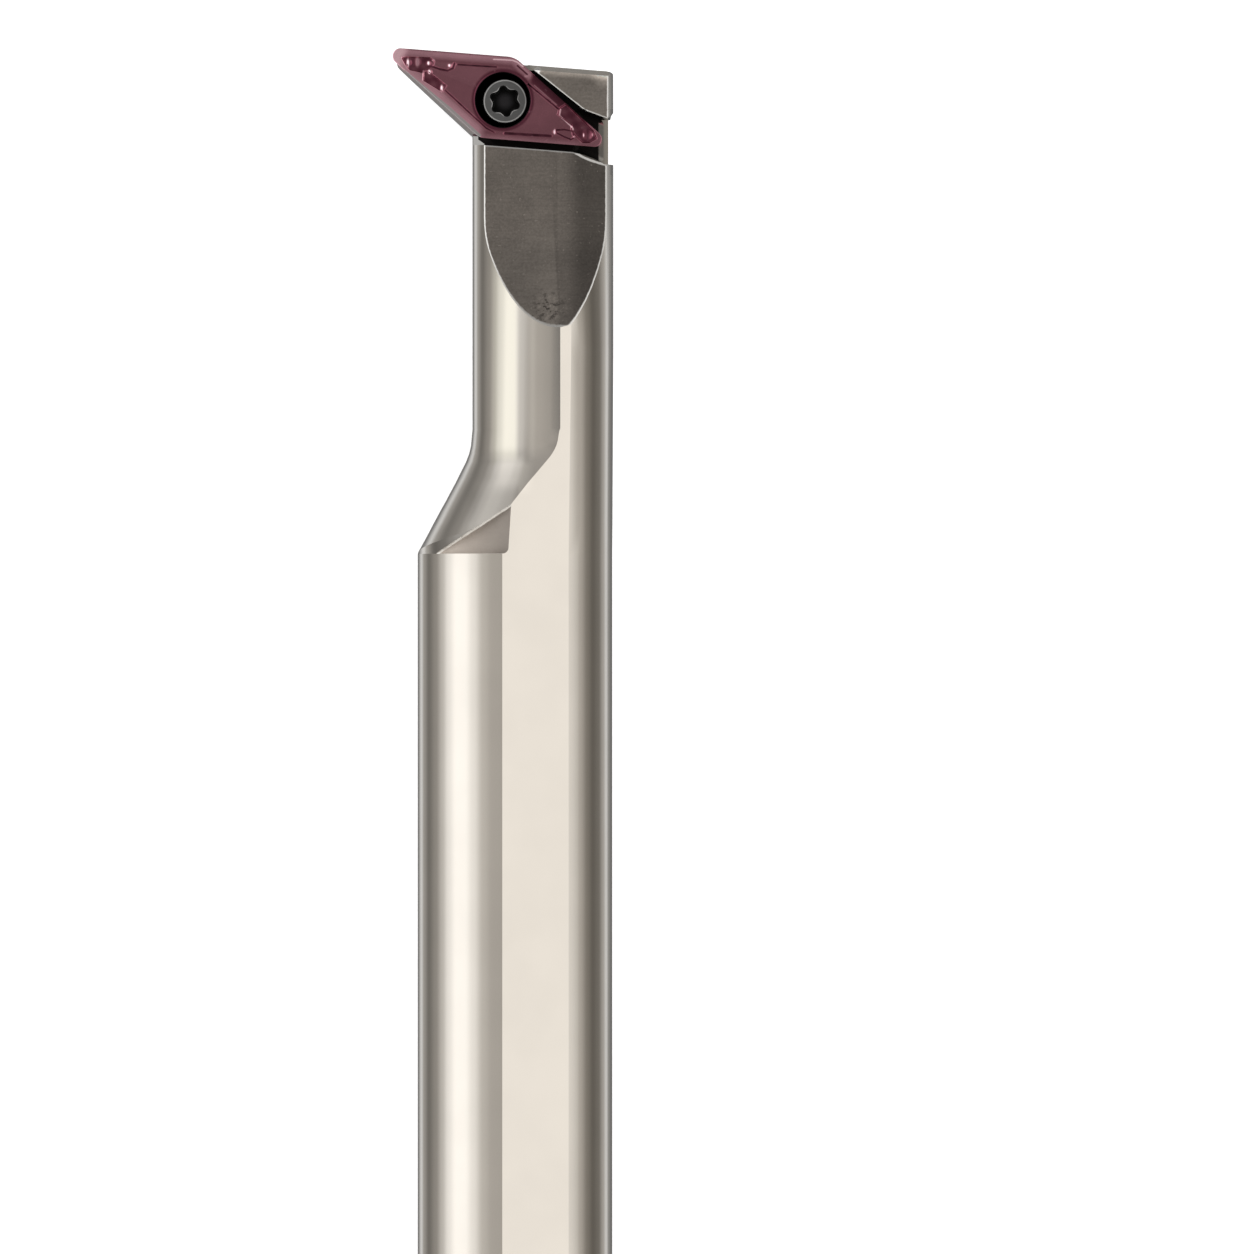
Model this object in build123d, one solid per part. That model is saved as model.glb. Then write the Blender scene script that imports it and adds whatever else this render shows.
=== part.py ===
from build123d import *
from math import cos, radians, sin, sqrt, tan
import os

# Boring bar with an offset neck, a rhombic indexable insert and its clamping screw.
# Millimetres. The bar lies along +Y with its head at +Y, its clamping flats face +Z and -Z,
# and the origin is the middle of the tail face.
# The head is turned on the bar by HEAD_ROLL, so the head is drawn in its own axes first:
# x to the right across the insert, y along the bar, z up out of the insert's top face.

# Shank
SHANK_D = 16.0
OVERALL_L = 150.0
ACROSS_FLATS = 15.0
FRONT_STAND = 0.08
FRONT_RUN = 17.0
TAIL_CHAMFER = 0.8
HEAD_ROLL = 13.2

# Neck, turned off centre, and the tapered shoulder behind it
NECK_R = 7.0
NECK_OFFSET = 3.5
NECK_DROP = 0.17
SHOULDER_BACK = 41.5
SHOULDER_L = 8.5
SHOULDER_ANGLE = 28.0
SHOULDER_FILLET = 7.0
SHOULDER_SHIFT = 0.7
SHOULDER_LIFT = 1.0
SHOULDER_SECTIONS = 8

# Triangular relief milled beside the flat, its floor falling away to the left
RELIEF_ANGLE = 25.0
RELIEF_FLOOR = 7.36
RELIEF_TIP_X = -6.52
RELIEF_WALL_X = -0.52
RELIEF_WALL_TOP_X = -0.27
RELIEF_CORNER_R = 0.5
RELIEF_L = 4.05

# Insert
INSERT_IC = 6.87
INSERT_ANGLE = 37.5
INSERT_T = 3.18
INSERT_NOSE_R = 0.66
INSERT_SIDE_R = 1.7
INSERT_CLEARANCE = 7.0
INSERT_TURN = 23.24
INSERT_X = -1.45
INSERT_BACK = 4.07
INSERT_TOP = 2.42
HOLE_MOUTH_R = 2.25
HOLE_ROUND = 0.12
HOLE_SHIFT = 0.5

# Chip former on the insert's top face
LAND_W = 0.66
GROOVE_W = 0.3
GROOVE_DEPTH = 0.14
TIP_POCKET_W = 1.9
TIP_POCKET_REACH = 3.4
TIP_POCKET_DEPTH = 0.2
CORNER_R_LEAST = 0.1

# Seat, walls and nose that carry the insert
WALL_FIT = 0.02
WALL_CONTACT_H = 1.6
SIDE_RELIEF_GAP = 0.22
SIDE_RELIEF_OPENING = 3.6
BACK_RELIEF_GAP = 0.56
BLOCK_TOP = 2.57
FRONT_SETBACK = 0.57
FRONT_CHAMFER = 0.38
FRONT_ROUND = 0.3
NOSE_SIDE_ANGLE = 42.5
NOSE_SIDE_AT_TIP = 0.15
NOSE_TIP_R = 0.6
NOSE_SWEEP_R = 7.6
NOSE_SWEEP_X = -2.4
NOSE_SWEEP_Z = 0.9

# Milled chip gullet on the neck
GULLET_FLOOR = 3.4
GULLET_RAMP = 24.2
GULLET_RAMP_BACK = 15.35
GULLET_BLEND_R = 7.0
GULLET_RIDGE_X = 3.5
GULLET_SIDE_ROLL = 6.6

# Corner notch between the two walls, open to the right side
NOTCH_FLOOR = -2.2
NOTCH_ARC_X = 4.7
NOTCH_ARC_R = 7.3
NOTCH_LOW_X = 7.34
NOTCH_LOW_BACK = 9.56
NOTCH_HIGH_X = 7.63
NOTCH_HIGH_BACK = 5.8
NOTCH_HIGH_ANGLE = 20.3
NOTCH_INNER_X = 5.1
NOTCH_LIP_ANGLE = 50.0
NOTCH_CORNER_R = 0.6
NOTCH_EDGE_CHAMFER = 0.5

# Clamping screw
SCREW_D = 2.5
SCREW_HEAD_D = 3.65
SCREW_HEAD_SINK = 0.8
SCREW_HEAD_RIM = 0.15
SCREW_HEAD_BREAK = 0.08
SCREW_END_CHAMFER = 0.4
SCREW_CONE = 60.0
SCREW_L = 6.2
SCREW_PULL = 0.19
SCREW_FIT = 0.01
SCREW_HOLE_SPARE = 0.6
DRILL_POINT = 118.0
SOCKET_D = 2.4
SOCKET_LOBE_H = 0.36
SOCKET_SCOOP_R = 0.46
SOCKET_DEPTH = 1.1
SOCKET_TURN = 41.0
SOCKET_LOBES = 6

SHANK_R = SHANK_D / 2
SEAT = INSERT_TOP - INSERT_T
INSERT_Y = OVERALL_L - INSERT_BACK
FRONT_EDGE_TURN = INSERT_TURN - INSERT_ANGLE / 2
SIDE_EDGE_TURN = INSERT_TURN + INSERT_ANGLE / 2
REACH = 2 * SHANK_D
SHOULDER_Y = OVERALL_L - SHOULDER_BACK

to_bar = Rot(0, -HEAD_ROLL, 0)


def along_bar(section, start, end):
    """Section drawn in x and z, run along y from start to end."""
    return Pos(0, start, 0) * extrude(Plane.XZ * section, -(end - start))


def stand_up(plan, low, high):
    """Plan drawn in x and y, standing from low to high."""
    return Pos(0, 0, low) * extrude(plan, high - low, dir=(0, 0, 1))


def disc_at(x, y, z, radius):
    """Flat disc square to the bar, centred on x, y, z."""
    return Plane(origin=(x, y, z), x_dir=(1, 0, 0), z_dir=(0, 1, 0)) * Circle(radius)


def flats_slab():
    """Slab between the two clamping flats."""
    return Rot(0, HEAD_ROLL, 0) * along_bar(Rectangle(REACH, ACROSS_FLATS), -1, OVERALL_L + 1)


def shank():
    """Ground shank: a round with a chamfered tail and two flats."""
    round_bar = along_bar(Circle(SHANK_R), 0, SHOULDER_Y)
    round_bar = chamfer(round_bar.edges().sort_by(Axis.Y)[0], TAIL_CHAMFER)
    return round_bar & flats_slab()


def front_stock():
    """What the neck and head are cut from: the same bar, which the grinder leaves a hair thicker."""
    run = Rot(-90, 0, 0) * Cone(SHANK_R, SHANK_R + FRONT_STAND, FRONT_RUN)
    rest = along_bar(Circle(SHANK_R + FRONT_STAND), SHOULDER_Y + FRONT_RUN, OVERALL_L)
    return (Pos(0, SHOULDER_Y + FRONT_RUN / 2, 0) * run + rest) & flats_slab()


def shoulder_growth(back):
    """How far the shoulder's left edge stands out, back millimetres behind the neck's corner."""
    angle = radians(SHOULDER_ANGLE)
    tangent = SHOULDER_FILLET * tan(angle / 2)
    if back >= tangent * cos(angle):
        return back * tan(angle)
    run = max(back + tangent, 0)
    return SHOULDER_FILLET - sqrt(SHOULDER_FILLET**2 - run**2)


def shoulder_section(back):
    """Round section of the shoulder, whose centre drifts to the bar's axis as it grows."""
    growth = shoulder_growth(back)
    lift = SHOULDER_LIFT * growth / shoulder_growth(SHOULDER_L)
    return disc_at(
        NECK_OFFSET - SHOULDER_SHIFT * growth,
        SHOULDER_Y + SHOULDER_L - back,
        lift - NECK_DROP,
        NECK_R + (1 - SHOULDER_SHIFT) * growth,
    )


def neck_envelope():
    """Everything that the off-centre turning leaves: shoulder taper, fillet and neck."""
    tangent = SHOULDER_FILLET * tan(radians(SHOULDER_ANGLE / 2))
    pitch = (SHOULDER_L + tangent) / SHOULDER_SECTIONS
    stations = [SHOULDER_L - pitch * step for step in range(SHOULDER_SECTIONS + 1)]
    taper = loft([shoulder_section(back) for back in stations])
    neck_start = SHOULDER_Y + SHOULDER_L + tangent
    neck = extrude(disc_at(NECK_OFFSET, neck_start, -NECK_DROP, NECK_R), OVERALL_L - neck_start)
    return taper + neck


def insert_edge(turn, distance):
    """Line parallel to an insert edge: a point on it and its direction, distance from centre."""
    normal = (sin(radians(turn)), cos(radians(turn)))
    along = (cos(radians(turn)), -sin(radians(turn)))
    point = (INSERT_X + distance * normal[0], INSERT_Y + distance * normal[1])
    return point, along


def crossing(first, second):
    """Point where two lines meet, each given as a point and a direction."""
    (ax, ay), (ux, uy) = first
    (bx, by), (vx, vy) = second
    step = ((bx - ax) * vy - (by - ay) * vx) / (ux * vy - uy * vx)
    return ax + step * ux, ay + step * uy


def nose_side():
    """Line of the nose's side, which leaves the insert's outer tip a little steeper."""
    tip_run = (INSERT_IC / 2 - INSERT_NOSE_R) / sin(radians(INSERT_ANGLE / 2))
    tip_x = INSERT_X - tip_run * cos(radians(INSERT_TURN))
    tip_y = INSERT_Y + tip_run * sin(radians(INSERT_TURN))
    reach = INSERT_NOSE_R + NOSE_SIDE_AT_TIP
    turn = radians(NOSE_SIDE_ANGLE)
    return (tip_x - reach * sin(turn), tip_y - reach * cos(turn)), (cos(turn), -sin(turn))


def nose():
    """Block under the insert, from the neck out to the tip, its underside turned to a radius."""
    front = insert_edge(FRONT_EDGE_TURN, INSERT_IC / 2 - FRONT_SETBACK)
    side = nose_side()
    neck_line = ((NECK_OFFSET, 0), (0, 1))
    corners = [crossing(front, side), crossing(front, neck_line), crossing(side, neck_line)]
    plan = make_face(Polyline(*corners, close=True))
    plan = fillet(plan.vertices().sort_by(Axis.X)[0], NOSE_TIP_R)
    block = stand_up(plan, -SHANK_D, SEAT)
    turning = Pos(NOSE_SWEEP_X, NOSE_SWEEP_Z) * Circle(NOSE_SWEEP_R)
    return block & along_bar(turning, SHOULDER_Y, OVERALL_L + 1)


def half_plane(line):
    """Plan of everything ahead of a line that runs parallel to the insert's front edge."""
    return Pos(*line[0]) * Rot(0, 0, -FRONT_EDGE_TURN) * Pos(0, REACH / 2) * Rectangle(2 * REACH, REACH)


def front_waste():
    """What lies ahead of the head's front face, which runs parallel to the insert's front edge."""
    front = insert_edge(FRONT_EDGE_TURN, INSERT_IC / 2 - FRONT_SETBACK)
    return stand_up(half_plane(front), -SHANK_D, SHANK_D)


def neck_blank():
    """Shoulder and neck before milling, with a rounded edge around the front face."""
    blank = (front_stock() & neck_envelope()) - front_waste()
    return fillet(blank.faces().sort_by(Axis.Y)[-1].edges(), FRONT_ROUND)


def wedge(side, back):
    """Plan between two lines, each a point and a direction, that meet beyond the inner tip."""
    corner = crossing(side, back)
    ends = [(corner[0] - REACH * u, corner[1] - REACH * v) for u, v in (side[1], back[1])]
    return make_face(Polyline(corner, *ends, close=True))


def contact_wedge(z):
    """Plan of the pocket at height z, its walls leaning like the insert's sides."""
    gap = WALL_FIT - (INSERT_TOP - z) * tan(radians(INSERT_CLEARANCE))
    side = insert_edge(SIDE_EDGE_TURN, INSERT_IC / 2 + gap)
    back = insert_edge(FRONT_EDGE_TURN, -INSERT_IC / 2 - gap)
    return Pos(0, 0, z) * wedge(side, back)


def back_relief_line():
    """Top edge of the wall behind the insert, at the head of the gullet."""
    return insert_edge(FRONT_EDGE_TURN, -INSERT_IC / 2 - BACK_RELIEF_GAP)


def insert_pocket():
    """Pocket for the insert; above the contact its walls stand back, the side one at an angle."""
    contact_top = SEAT + WALL_CONTACT_H
    contact = loft([contact_wedge(SEAT), contact_wedge(contact_top)], ruled=True)
    side_start = insert_edge(SIDE_EDGE_TURN, INSERT_IC / 2 + SIDE_RELIEF_GAP)[0]
    turn = radians(SIDE_EDGE_TURN - SIDE_RELIEF_OPENING)
    side = (side_start, (cos(turn), -sin(turn)))
    relief = stand_up(wedge(side, back_relief_line()), contact_top, SHANK_D)
    return contact + relief


def corner_notch():
    """Deep cut at the insert's inner tip, open to the side, with rounded corners at its floor."""
    low_y = OVERALL_L - NOTCH_LOW_BACK
    high_y = OVERALL_L - NOTCH_HIGH_BACK
    start = crossing(back_relief_line(), ((NOTCH_ARC_X, 0), (0, 1)))
    far_x = NOTCH_HIGH_X + SHANK_R
    inner_y = high_y + (NOTCH_HIGH_X - NOTCH_INNER_X) * tan(radians(NOTCH_HIGH_ANGLE))
    lip_y = high_y + (SHANK_R - NOTCH_HIGH_X + NOTCH_EDGE_CHAMFER) * tan(radians(NOTCH_LIP_ANGLE))
    outline = RadiusArc(start, (NOTCH_LOW_X, low_y), NOTCH_ARC_R) + Polyline(
        (NOTCH_LOW_X, low_y),
        (far_x, low_y),
        (far_x, lip_y),
        (SHANK_R + NOTCH_EDGE_CHAMFER, lip_y),
        (NOTCH_HIGH_X, high_y),
        (NOTCH_INNER_X, inner_y),
        start,
    )
    notch = stand_up(make_face(outline), NOTCH_FLOOR, SHANK_D)
    return fillet(notch.faces().sort_by(Axis.Z)[0].edges(), NOTCH_CORNER_R)


def head_top_waste():
    """What lies above the head block, ahead of the wall that backs the insert."""
    return stand_up(half_plane(back_relief_line()), BLOCK_TOP, SHANK_D)


def sloping_waste(place, width, depth):
    """What a 45 degree break takes off an edge along x, with its faces towards +y and +z."""
    reach = 6 * depth
    slope = Pos(0, -depth / 2, -depth / 2) * Rot(-45, 0, 0) * Pos(0, 0, reach / 2)
    return place * slope * Box(width, reach, reach)


def front_break():
    """Bevel along the head block's front edge."""
    front = insert_edge(FRONT_EDGE_TURN, INSERT_IC / 2 - FRONT_SETBACK)
    place = Pos(*front[0], BLOCK_TOP) * Rot(0, 0, -FRONT_EDGE_TURN)
    return sloping_waste(place, 2 * REACH, FRONT_CHAMFER)


def notch_break():
    """Bevel where the notch's floor runs out through the bar's round side."""
    edge_x = sqrt((SHANK_R + FRONT_STAND) ** 2 - NOTCH_FLOOR**2)
    low_y = OVERALL_L - NOTCH_LOW_BACK
    high_y = OVERALL_L - NOTCH_HIGH_BACK
    place = Pos(edge_x, (low_y + high_y) / 2, NOTCH_FLOOR) * Rot(0, 0, -90)
    return sloping_waste(place, high_y - low_y, NOTCH_EDGE_CHAMFER)


def gullet_prism():
    """Space above the gullet: level floor, blend and ramp that runs out on the neck."""
    ramp_y = OVERALL_L - GULLET_RAMP_BACK
    rise = REACH * tan(radians(GULLET_RAMP))
    outline = FilletPolyline(
        (OVERALL_L + SHANK_R, GULLET_FLOOR),
        (ramp_y, GULLET_FLOOR),
        (ramp_y - REACH, GULLET_FLOOR + rise),
        radius=GULLET_BLEND_R,
    )
    lid = Polyline(
        (ramp_y - REACH, GULLET_FLOOR + rise),
        (OVERALL_L + SHANK_R, GULLET_FLOOR + rise),
        (OVERALL_L + SHANK_R, GULLET_FLOOR),
    )
    side = Plane(origin=(-REACH, 0, 0), x_dir=(0, 1, 0), z_dir=(1, 0, 0))
    profile = make_face([*outline.edges(), *lid.edges()])
    return extrude(side * profile, 2 * REACH, dir=(1, 0, 0))


def chip_gullet():
    """Gullet of two facets that meet on a line along the bar, the right one rolled down."""
    prism = gullet_prism()
    ridge = Pos(GULLET_RIDGE_X, 0, GULLET_FLOOR)
    rolled = ridge * Rot(0, GULLET_SIDE_ROLL, 0) * Pos(-GULLET_RIDGE_X, 0, -GULLET_FLOOR) * prism
    return prism + rolled


def shoulder_relief():
    """Triangular pocket beside the flat, with upright walls and a rounded corner at the rim."""
    plan = make_face(
        Polyline(
            (RELIEF_TIP_X, SHOULDER_Y),
            (RELIEF_WALL_X, SHOULDER_Y),
            (RELIEF_WALL_TOP_X, SHOULDER_Y + RELIEF_L),
            close=True,
        )
    )
    corner = plan.vertices().sort_by_distance((RELIEF_WALL_X, SHOULDER_Y, 0))[0]
    plan = fillet(corner, RELIEF_CORNER_R)
    floor = Pos(RELIEF_WALL_X, SHOULDER_Y, RELIEF_FLOOR) * Rot(0, -RELIEF_ANGLE, 0)
    above = floor * Pos(0, 0, REACH / 2) * Box(2 * REACH, 2 * REACH, REACH)
    return stand_up(plan, 0, SHANK_D) & above


def screw_axis(z):
    """Place on the screw's axis at height z, pulled from the insert's hole to its inner tip."""
    shift = HOLE_SHIFT + SCREW_PULL
    x = INSERT_X + shift * cos(radians(INSERT_TURN))
    y = INSERT_Y - shift * sin(radians(INSERT_TURN))
    return Pos(x, y, z)


def screw_hole():
    """Tapped hole in the nose, drawn at its thread's outside, with a drill point."""
    depth = SCREW_L - (INSERT_T - SCREW_HEAD_SINK) + SCREW_HOLE_SPARE
    radius = SCREW_D / 2 + SCREW_FIT
    point = radius / tan(radians(DRILL_POINT / 2))
    bore = Pos(0, 0, -depth / 2) * Cylinder(radius, depth)
    tip = Pos(0, 0, -depth - point / 2) * Rot(180, 0, 0) * Cone(radius, 0, point)
    return screw_axis(SEAT) * (bore + tip)


def bar_body():
    """Shank, neck and head in one piece."""
    body = shank() + neck_blank() + (nose() - front_waste())
    body -= chip_gullet() & along_bar(Rectangle(2 * REACH, 2 * REACH), SHOULDER_Y, INSERT_Y - INSERT_IC / 2)
    body -= head_top_waste()
    body -= insert_pocket()
    body -= front_break()
    body -= corner_notch()
    body -= notch_break()
    body -= shoulder_relief()
    body -= screw_hole()
    return body


def rhombus(shrink):
    """Plan of the insert at the insert's centre, its four sides moved in by shrink."""
    half = INSERT_IC / 2 - shrink
    long_half = half / sin(radians(INSERT_ANGLE / 2))
    short_half = half / cos(radians(INSERT_ANGLE / 2))
    plan = make_face(
        Polyline((long_half, 0), (0, short_half), (-long_half, 0), (0, -short_half), close=True)
    )
    tips = plan.vertices().sort_by(Axis.X)
    plan = fillet([tips[0], tips[-1]], max(INSERT_NOSE_R - shrink, CORNER_R_LEAST))
    sides = plan.vertices().group_by(Axis.Y)
    return fillet([*sides[0], *sides[-1]], INSERT_SIDE_R)


def insert_place():
    """Insert's axes: x along its long diagonal towards the inner tip, z = 0 on its top face."""
    return Pos(INSERT_X, INSERT_Y, INSERT_TOP) * Rot(0, 0, -INSERT_TURN)


def insert_hole():
    """Hole with a straight mouth, a cone that takes the screw head, and a straight throat."""
    slope = tan(radians(SCREW_CONE / 2))
    room = SCREW_PULL + SCREW_FIT
    throat = SCREW_D / 2 + room
    cone_start = SCREW_HEAD_SINK + SCREW_HEAD_RIM - (HOLE_MOUTH_R - SCREW_HEAD_D / 2 - room) / slope
    cone_end = cone_start + (HOLE_MOUTH_R - throat) / slope
    outline = Polyline(
        (0, 1),
        (HOLE_MOUTH_R + HOLE_ROUND, 1),
        (HOLE_MOUTH_R + HOLE_ROUND, 0),
        (HOLE_MOUTH_R, -HOLE_ROUND),
        (HOLE_MOUTH_R, -cone_start),
        (throat, -cone_end),
        (throat, -INSERT_T - 1),
        (0, -INSERT_T - 1),
        close=True,
    )
    return Pos(HOLE_SHIFT, 0, 0) * revolve(make_face(Plane.XZ * outline), Axis.Z)


def chip_former():
    """Sunken groove inside the edge land, and a deeper pocket at each sharp tip."""
    ring = rhombus(LAND_W) - rhombus(LAND_W + GROOVE_W)
    groove = stand_up(ring, -GROOVE_DEPTH, 1)
    tip_x = (INSERT_IC / 2 - LAND_W) / sin(radians(INSERT_ANGLE / 2))
    pockets = [
        Pos(side * tip_x, 0, 0) * Box(2 * TIP_POCKET_REACH, TIP_POCKET_W, 2 * TIP_POCKET_DEPTH)
        for side in (-1, 1)
    ]
    inside = extrude(rhombus(LAND_W), 1, both=True)
    return groove + [pocket & inside for pocket in pockets]


def cutting_insert():
    """Rhombic insert with leaning sides, chip former and screw hole."""
    shrink = INSERT_T * tan(radians(INSERT_CLEARANCE))
    plate = loft([Pos(0, 0, -INSERT_T) * rhombus(shrink), rhombus(0)], ruled=True)
    plate -= chip_former()
    plate -= insert_hole()
    return insert_place() * plate


def screw_socket():
    """Six-lobed socket: a round scooped back between its lobes."""
    scoop_ring = SOCKET_D / 2 - SOCKET_LOBE_H + SOCKET_SCOOP_R
    scoops = PolarLocations(scoop_ring, SOCKET_LOBES, start_angle=180 / SOCKET_LOBES)
    socket = Circle(SOCKET_D / 2) - [place * Circle(SOCKET_SCOOP_R) for place in scoops]
    return Rot(0, 0, SOCKET_TURN) * stand_up(socket, -SOCKET_DEPTH, 1)


def clamp_screw():
    """Countersunk screw whose cone seats on the insert's hole; z = 0 on top of its head."""
    slope = tan(radians(SCREW_CONE / 2))
    head_r = SCREW_HEAD_D / 2
    neck_depth = SCREW_HEAD_RIM + (head_r - SCREW_D / 2) / slope
    outline = Polyline(
        (0, 0),
        (head_r - SCREW_HEAD_BREAK, 0),
        (head_r, -SCREW_HEAD_BREAK),
        (head_r, -SCREW_HEAD_RIM),
        (SCREW_D / 2, -neck_depth),
        (SCREW_D / 2, -SCREW_L + SCREW_END_CHAMFER),
        (SCREW_D / 2 - SCREW_END_CHAMFER, -SCREW_L),
        (0, -SCREW_L),
        close=True,
    )
    screw = revolve(make_face(Plane.XZ * outline), Axis.Z)
    screw -= screw_socket()
    return screw_axis(INSERT_TOP - SCREW_HEAD_SINK) * screw


os.makedirs("parts", exist_ok=True)
pieces = {
    "bar_body": bar_body(),
    "cutting_insert": cutting_insert(),
    "clamp_screw": clamp_screw(),
}
for name, piece in pieces.items():
    export_step(to_bar * piece, f"parts/{name}.step")
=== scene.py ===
"""Looks of the boring bar: nickel-plated steel, a coated insert, a blackened screw and a plain studio.

The bar lies along +Y with its head at +Y. The head is rolled about the bar by the head roll,
so the insert, the milled faces and the camera share the head's axes: x across the insert,
y along the bar and z up out of the insert's top face.
"""

import math

import bpy
import numpy as np
from bpy.props import FloatProperty, FloatVectorProperty, IntProperty, PointerProperty
from mathutils import Matrix, Vector


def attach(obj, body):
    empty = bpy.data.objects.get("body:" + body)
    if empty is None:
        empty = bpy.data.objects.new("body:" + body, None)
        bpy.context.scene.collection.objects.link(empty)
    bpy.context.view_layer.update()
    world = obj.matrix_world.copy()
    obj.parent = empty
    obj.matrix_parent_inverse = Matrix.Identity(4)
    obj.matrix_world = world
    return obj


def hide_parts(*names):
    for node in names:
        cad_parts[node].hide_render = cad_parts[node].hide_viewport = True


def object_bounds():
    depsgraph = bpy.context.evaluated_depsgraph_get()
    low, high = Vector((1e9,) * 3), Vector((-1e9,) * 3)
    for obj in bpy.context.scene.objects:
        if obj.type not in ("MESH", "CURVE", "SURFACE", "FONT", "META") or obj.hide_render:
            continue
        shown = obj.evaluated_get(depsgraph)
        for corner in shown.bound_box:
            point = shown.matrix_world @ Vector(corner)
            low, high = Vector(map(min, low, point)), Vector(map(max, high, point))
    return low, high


bl_info = {
    "name": "Boring bar looks",
    "version": (1, 0, 0),
    "blender": (4, 5, 0),
    "location": "View3D > Sidebar > Boring bar",
    "description": "Finishes, insert and studio for a boring bar that is framed by its solids",
    "category": "Object",
}

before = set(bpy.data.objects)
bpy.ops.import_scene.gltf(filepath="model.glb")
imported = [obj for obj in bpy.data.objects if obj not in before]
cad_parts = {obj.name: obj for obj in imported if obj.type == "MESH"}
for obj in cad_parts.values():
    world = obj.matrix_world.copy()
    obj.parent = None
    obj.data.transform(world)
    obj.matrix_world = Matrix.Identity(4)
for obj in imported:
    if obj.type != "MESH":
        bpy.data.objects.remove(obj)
CAD_LOW, CAD_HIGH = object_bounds()

MM = 0.001
HEAD_ROLL = math.radians(13.2)
ACROSS = Vector((math.cos(HEAD_ROLL), 0, math.sin(HEAD_ROLL)))
ALONG = Vector((0, 1, 0))
OUTWARD = Vector((-math.sin(HEAD_ROLL), 0, math.cos(HEAD_ROLL)))

# Where the solids' own edges lie, in the head's axes, so that the finishes can follow them
SHOULDER_Y = 108.5 * MM
NECK_X = 3.5 * MM
NECK_Z = -0.17 * MM
NECK_R = 7.0 * MM
HEAD_R = 8.08 * MM
INSERT_X = -1.45 * MM
INSERT_Y = 145.93 * MM
INSERT_TOP = 2.42 * MM
INSERT_T = 3.18 * MM
INSERT_HALF = 3.435 * MM
INSERT_TURN = math.radians(23.24)
INSERT_TIP = math.radians(18.75)
INSERT_NOSE_R = 0.66 * MM
INSERT_SIDE_R = 1.7 * MM
INSERT_CLEARANCE = math.radians(7)
HOLE_SHIFT = 0.5 * MM
HOLE_R = 2.25 * MM
HOLE_ROUND = 0.12 * MM
THROAT_R = 1.45 * MM
SCREW_SHIFT = 0.69 * MM
SCREW_TOP = 1.62 * MM
GULLET_START = 120.5 * MM
RIDGE_X = 3.5 * MM


class StageSettings(bpy.types.PropertyGroup):
    """Sizes and colours of the studio."""

    frame_side: FloatProperty(
        name="Frame side", description="Side of the square picture at the bar's axis",
        default=0.10304, unit="LENGTH",
    )
    look_across: FloatProperty(
        name="Aim across", description="Picture's centre, to the right of the bar's axis",
        default=9.20 * MM, unit="LENGTH",
    )
    look_back: FloatProperty(
        name="Aim behind the tip", description="Picture's centre, behind the front of the head",
        default=47.5 * MM, unit="LENGTH",
    )
    distance: FloatProperty(
        name="Camera distance", description="From the bar's axis to the camera",
        default=1.6, unit="LENGTH",
    )
    floor_side: FloatProperty(
        name="Floor side", description="Side of the square floor", default=6.0, unit="LENGTH",
    )
    floor_colour: FloatVectorProperty(
        name="Floor colour", description="Colour of the pale floor", default=(0.86, 0.86, 0.86),
        subtype="COLOR", size=3, min=0, max=1,
    )
    soft_light: FloatProperty(
        name="Soft light", description="Level of the even light that falls on dull surfaces",
        default=1.0, min=0,
    )


class SteelSettings(bpy.types.PropertyGroup):
    """Colours and gloss of the bar."""

    plated: FloatVectorProperty(
        name="Plated colour", description="Reflected colour of the smooth plated steel",
        default=(0.84, 0.79, 0.72), subtype="COLOR", size=3, min=0, max=1,
    )
    plated_roughness: FloatProperty(
        name="Plated roughness", description="Roughness of the smooth plated steel",
        default=0.12, min=0, max=1,
    )
    milled: FloatVectorProperty(
        name="Milled colour", description="Reflected colour of the dull milled faces",
        default=(0.266, 0.237, 0.211), subtype="COLOR", size=3, min=0, max=1,
    )
    milled_roughness: FloatProperty(
        name="Milled roughness", description="Roughness of the dull milled faces",
        default=0.5, min=0, max=1,
    )
    # The pocket colour is painted shade on the pocket's walls and floors.
    pocket: FloatVectorProperty(
        name="Pocket colour", description="Reflected colour of the walls and floors of the pocket",
        default=(0.020, 0.018, 0.017), subtype="COLOR", size=3, min=0, max=1,
    )
    edge_width: FloatProperty(
        name="Edge width", description="Width of the polished line along the milled faces' edges",
        default=0.13 * MM, unit="LENGTH",
    )


class InsertSettings(bpy.types.PropertyGroup):
    """Colours, gloss and mesh density of the insert."""

    coating: FloatVectorProperty(
        name="Coating colour", description="Reflected colour of the mauve coating",
        default=(0.45, 0.185, 0.23), subtype="COLOR", size=3, min=0, max=1,
    )
    # The deep colour is painted shade in the hollows and grooves and on the darker lands.
    deep: FloatVectorProperty(
        name="Deep colour", description="Reflected colour of the coating in the hollows",
        default=(0.235, 0.066, 0.10), subtype="COLOR", size=3, min=0, max=1,
    )
    # The pale colour is painted light on the lighter lands and tips; the coating's specks also take it.
    pale: FloatVectorProperty(
        name="Pale colour", description="Reflected colour of the coating on the pale lands",
        default=(1.0, 0.53, 0.625), subtype="COLOR", size=3, min=0, max=1,
    )
    # The gleam colour is painted highlights on the nubs, the rims and the outer tip.
    gleam: FloatVectorProperty(
        name="Gleam colour", description="Reflected colour of the coating on the nubs' gleams",
        default=(1.0, 0.82, 0.87), subtype="COLOR", size=3, min=0, max=1,
    )
    ground: FloatVectorProperty(
        name="Ground edge colour", description="Reflected colour of the bare ground strip on the lower side",
        default=(0.50, 0.465, 0.47), subtype="COLOR", size=3, min=0, max=1,
    )
    roughness: FloatProperty(
        name="Coating roughness", description="Roughness of the coating", default=0.20, min=0, max=1,
    )
    around: IntProperty(
        name="Points around", description="Points of the mesh around the insert", default=720, min=60,
    )
    inwards: IntProperty(
        name="Rings on top", description="Rings of the mesh from the edge to the hole", default=110, min=10,
    )


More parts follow.
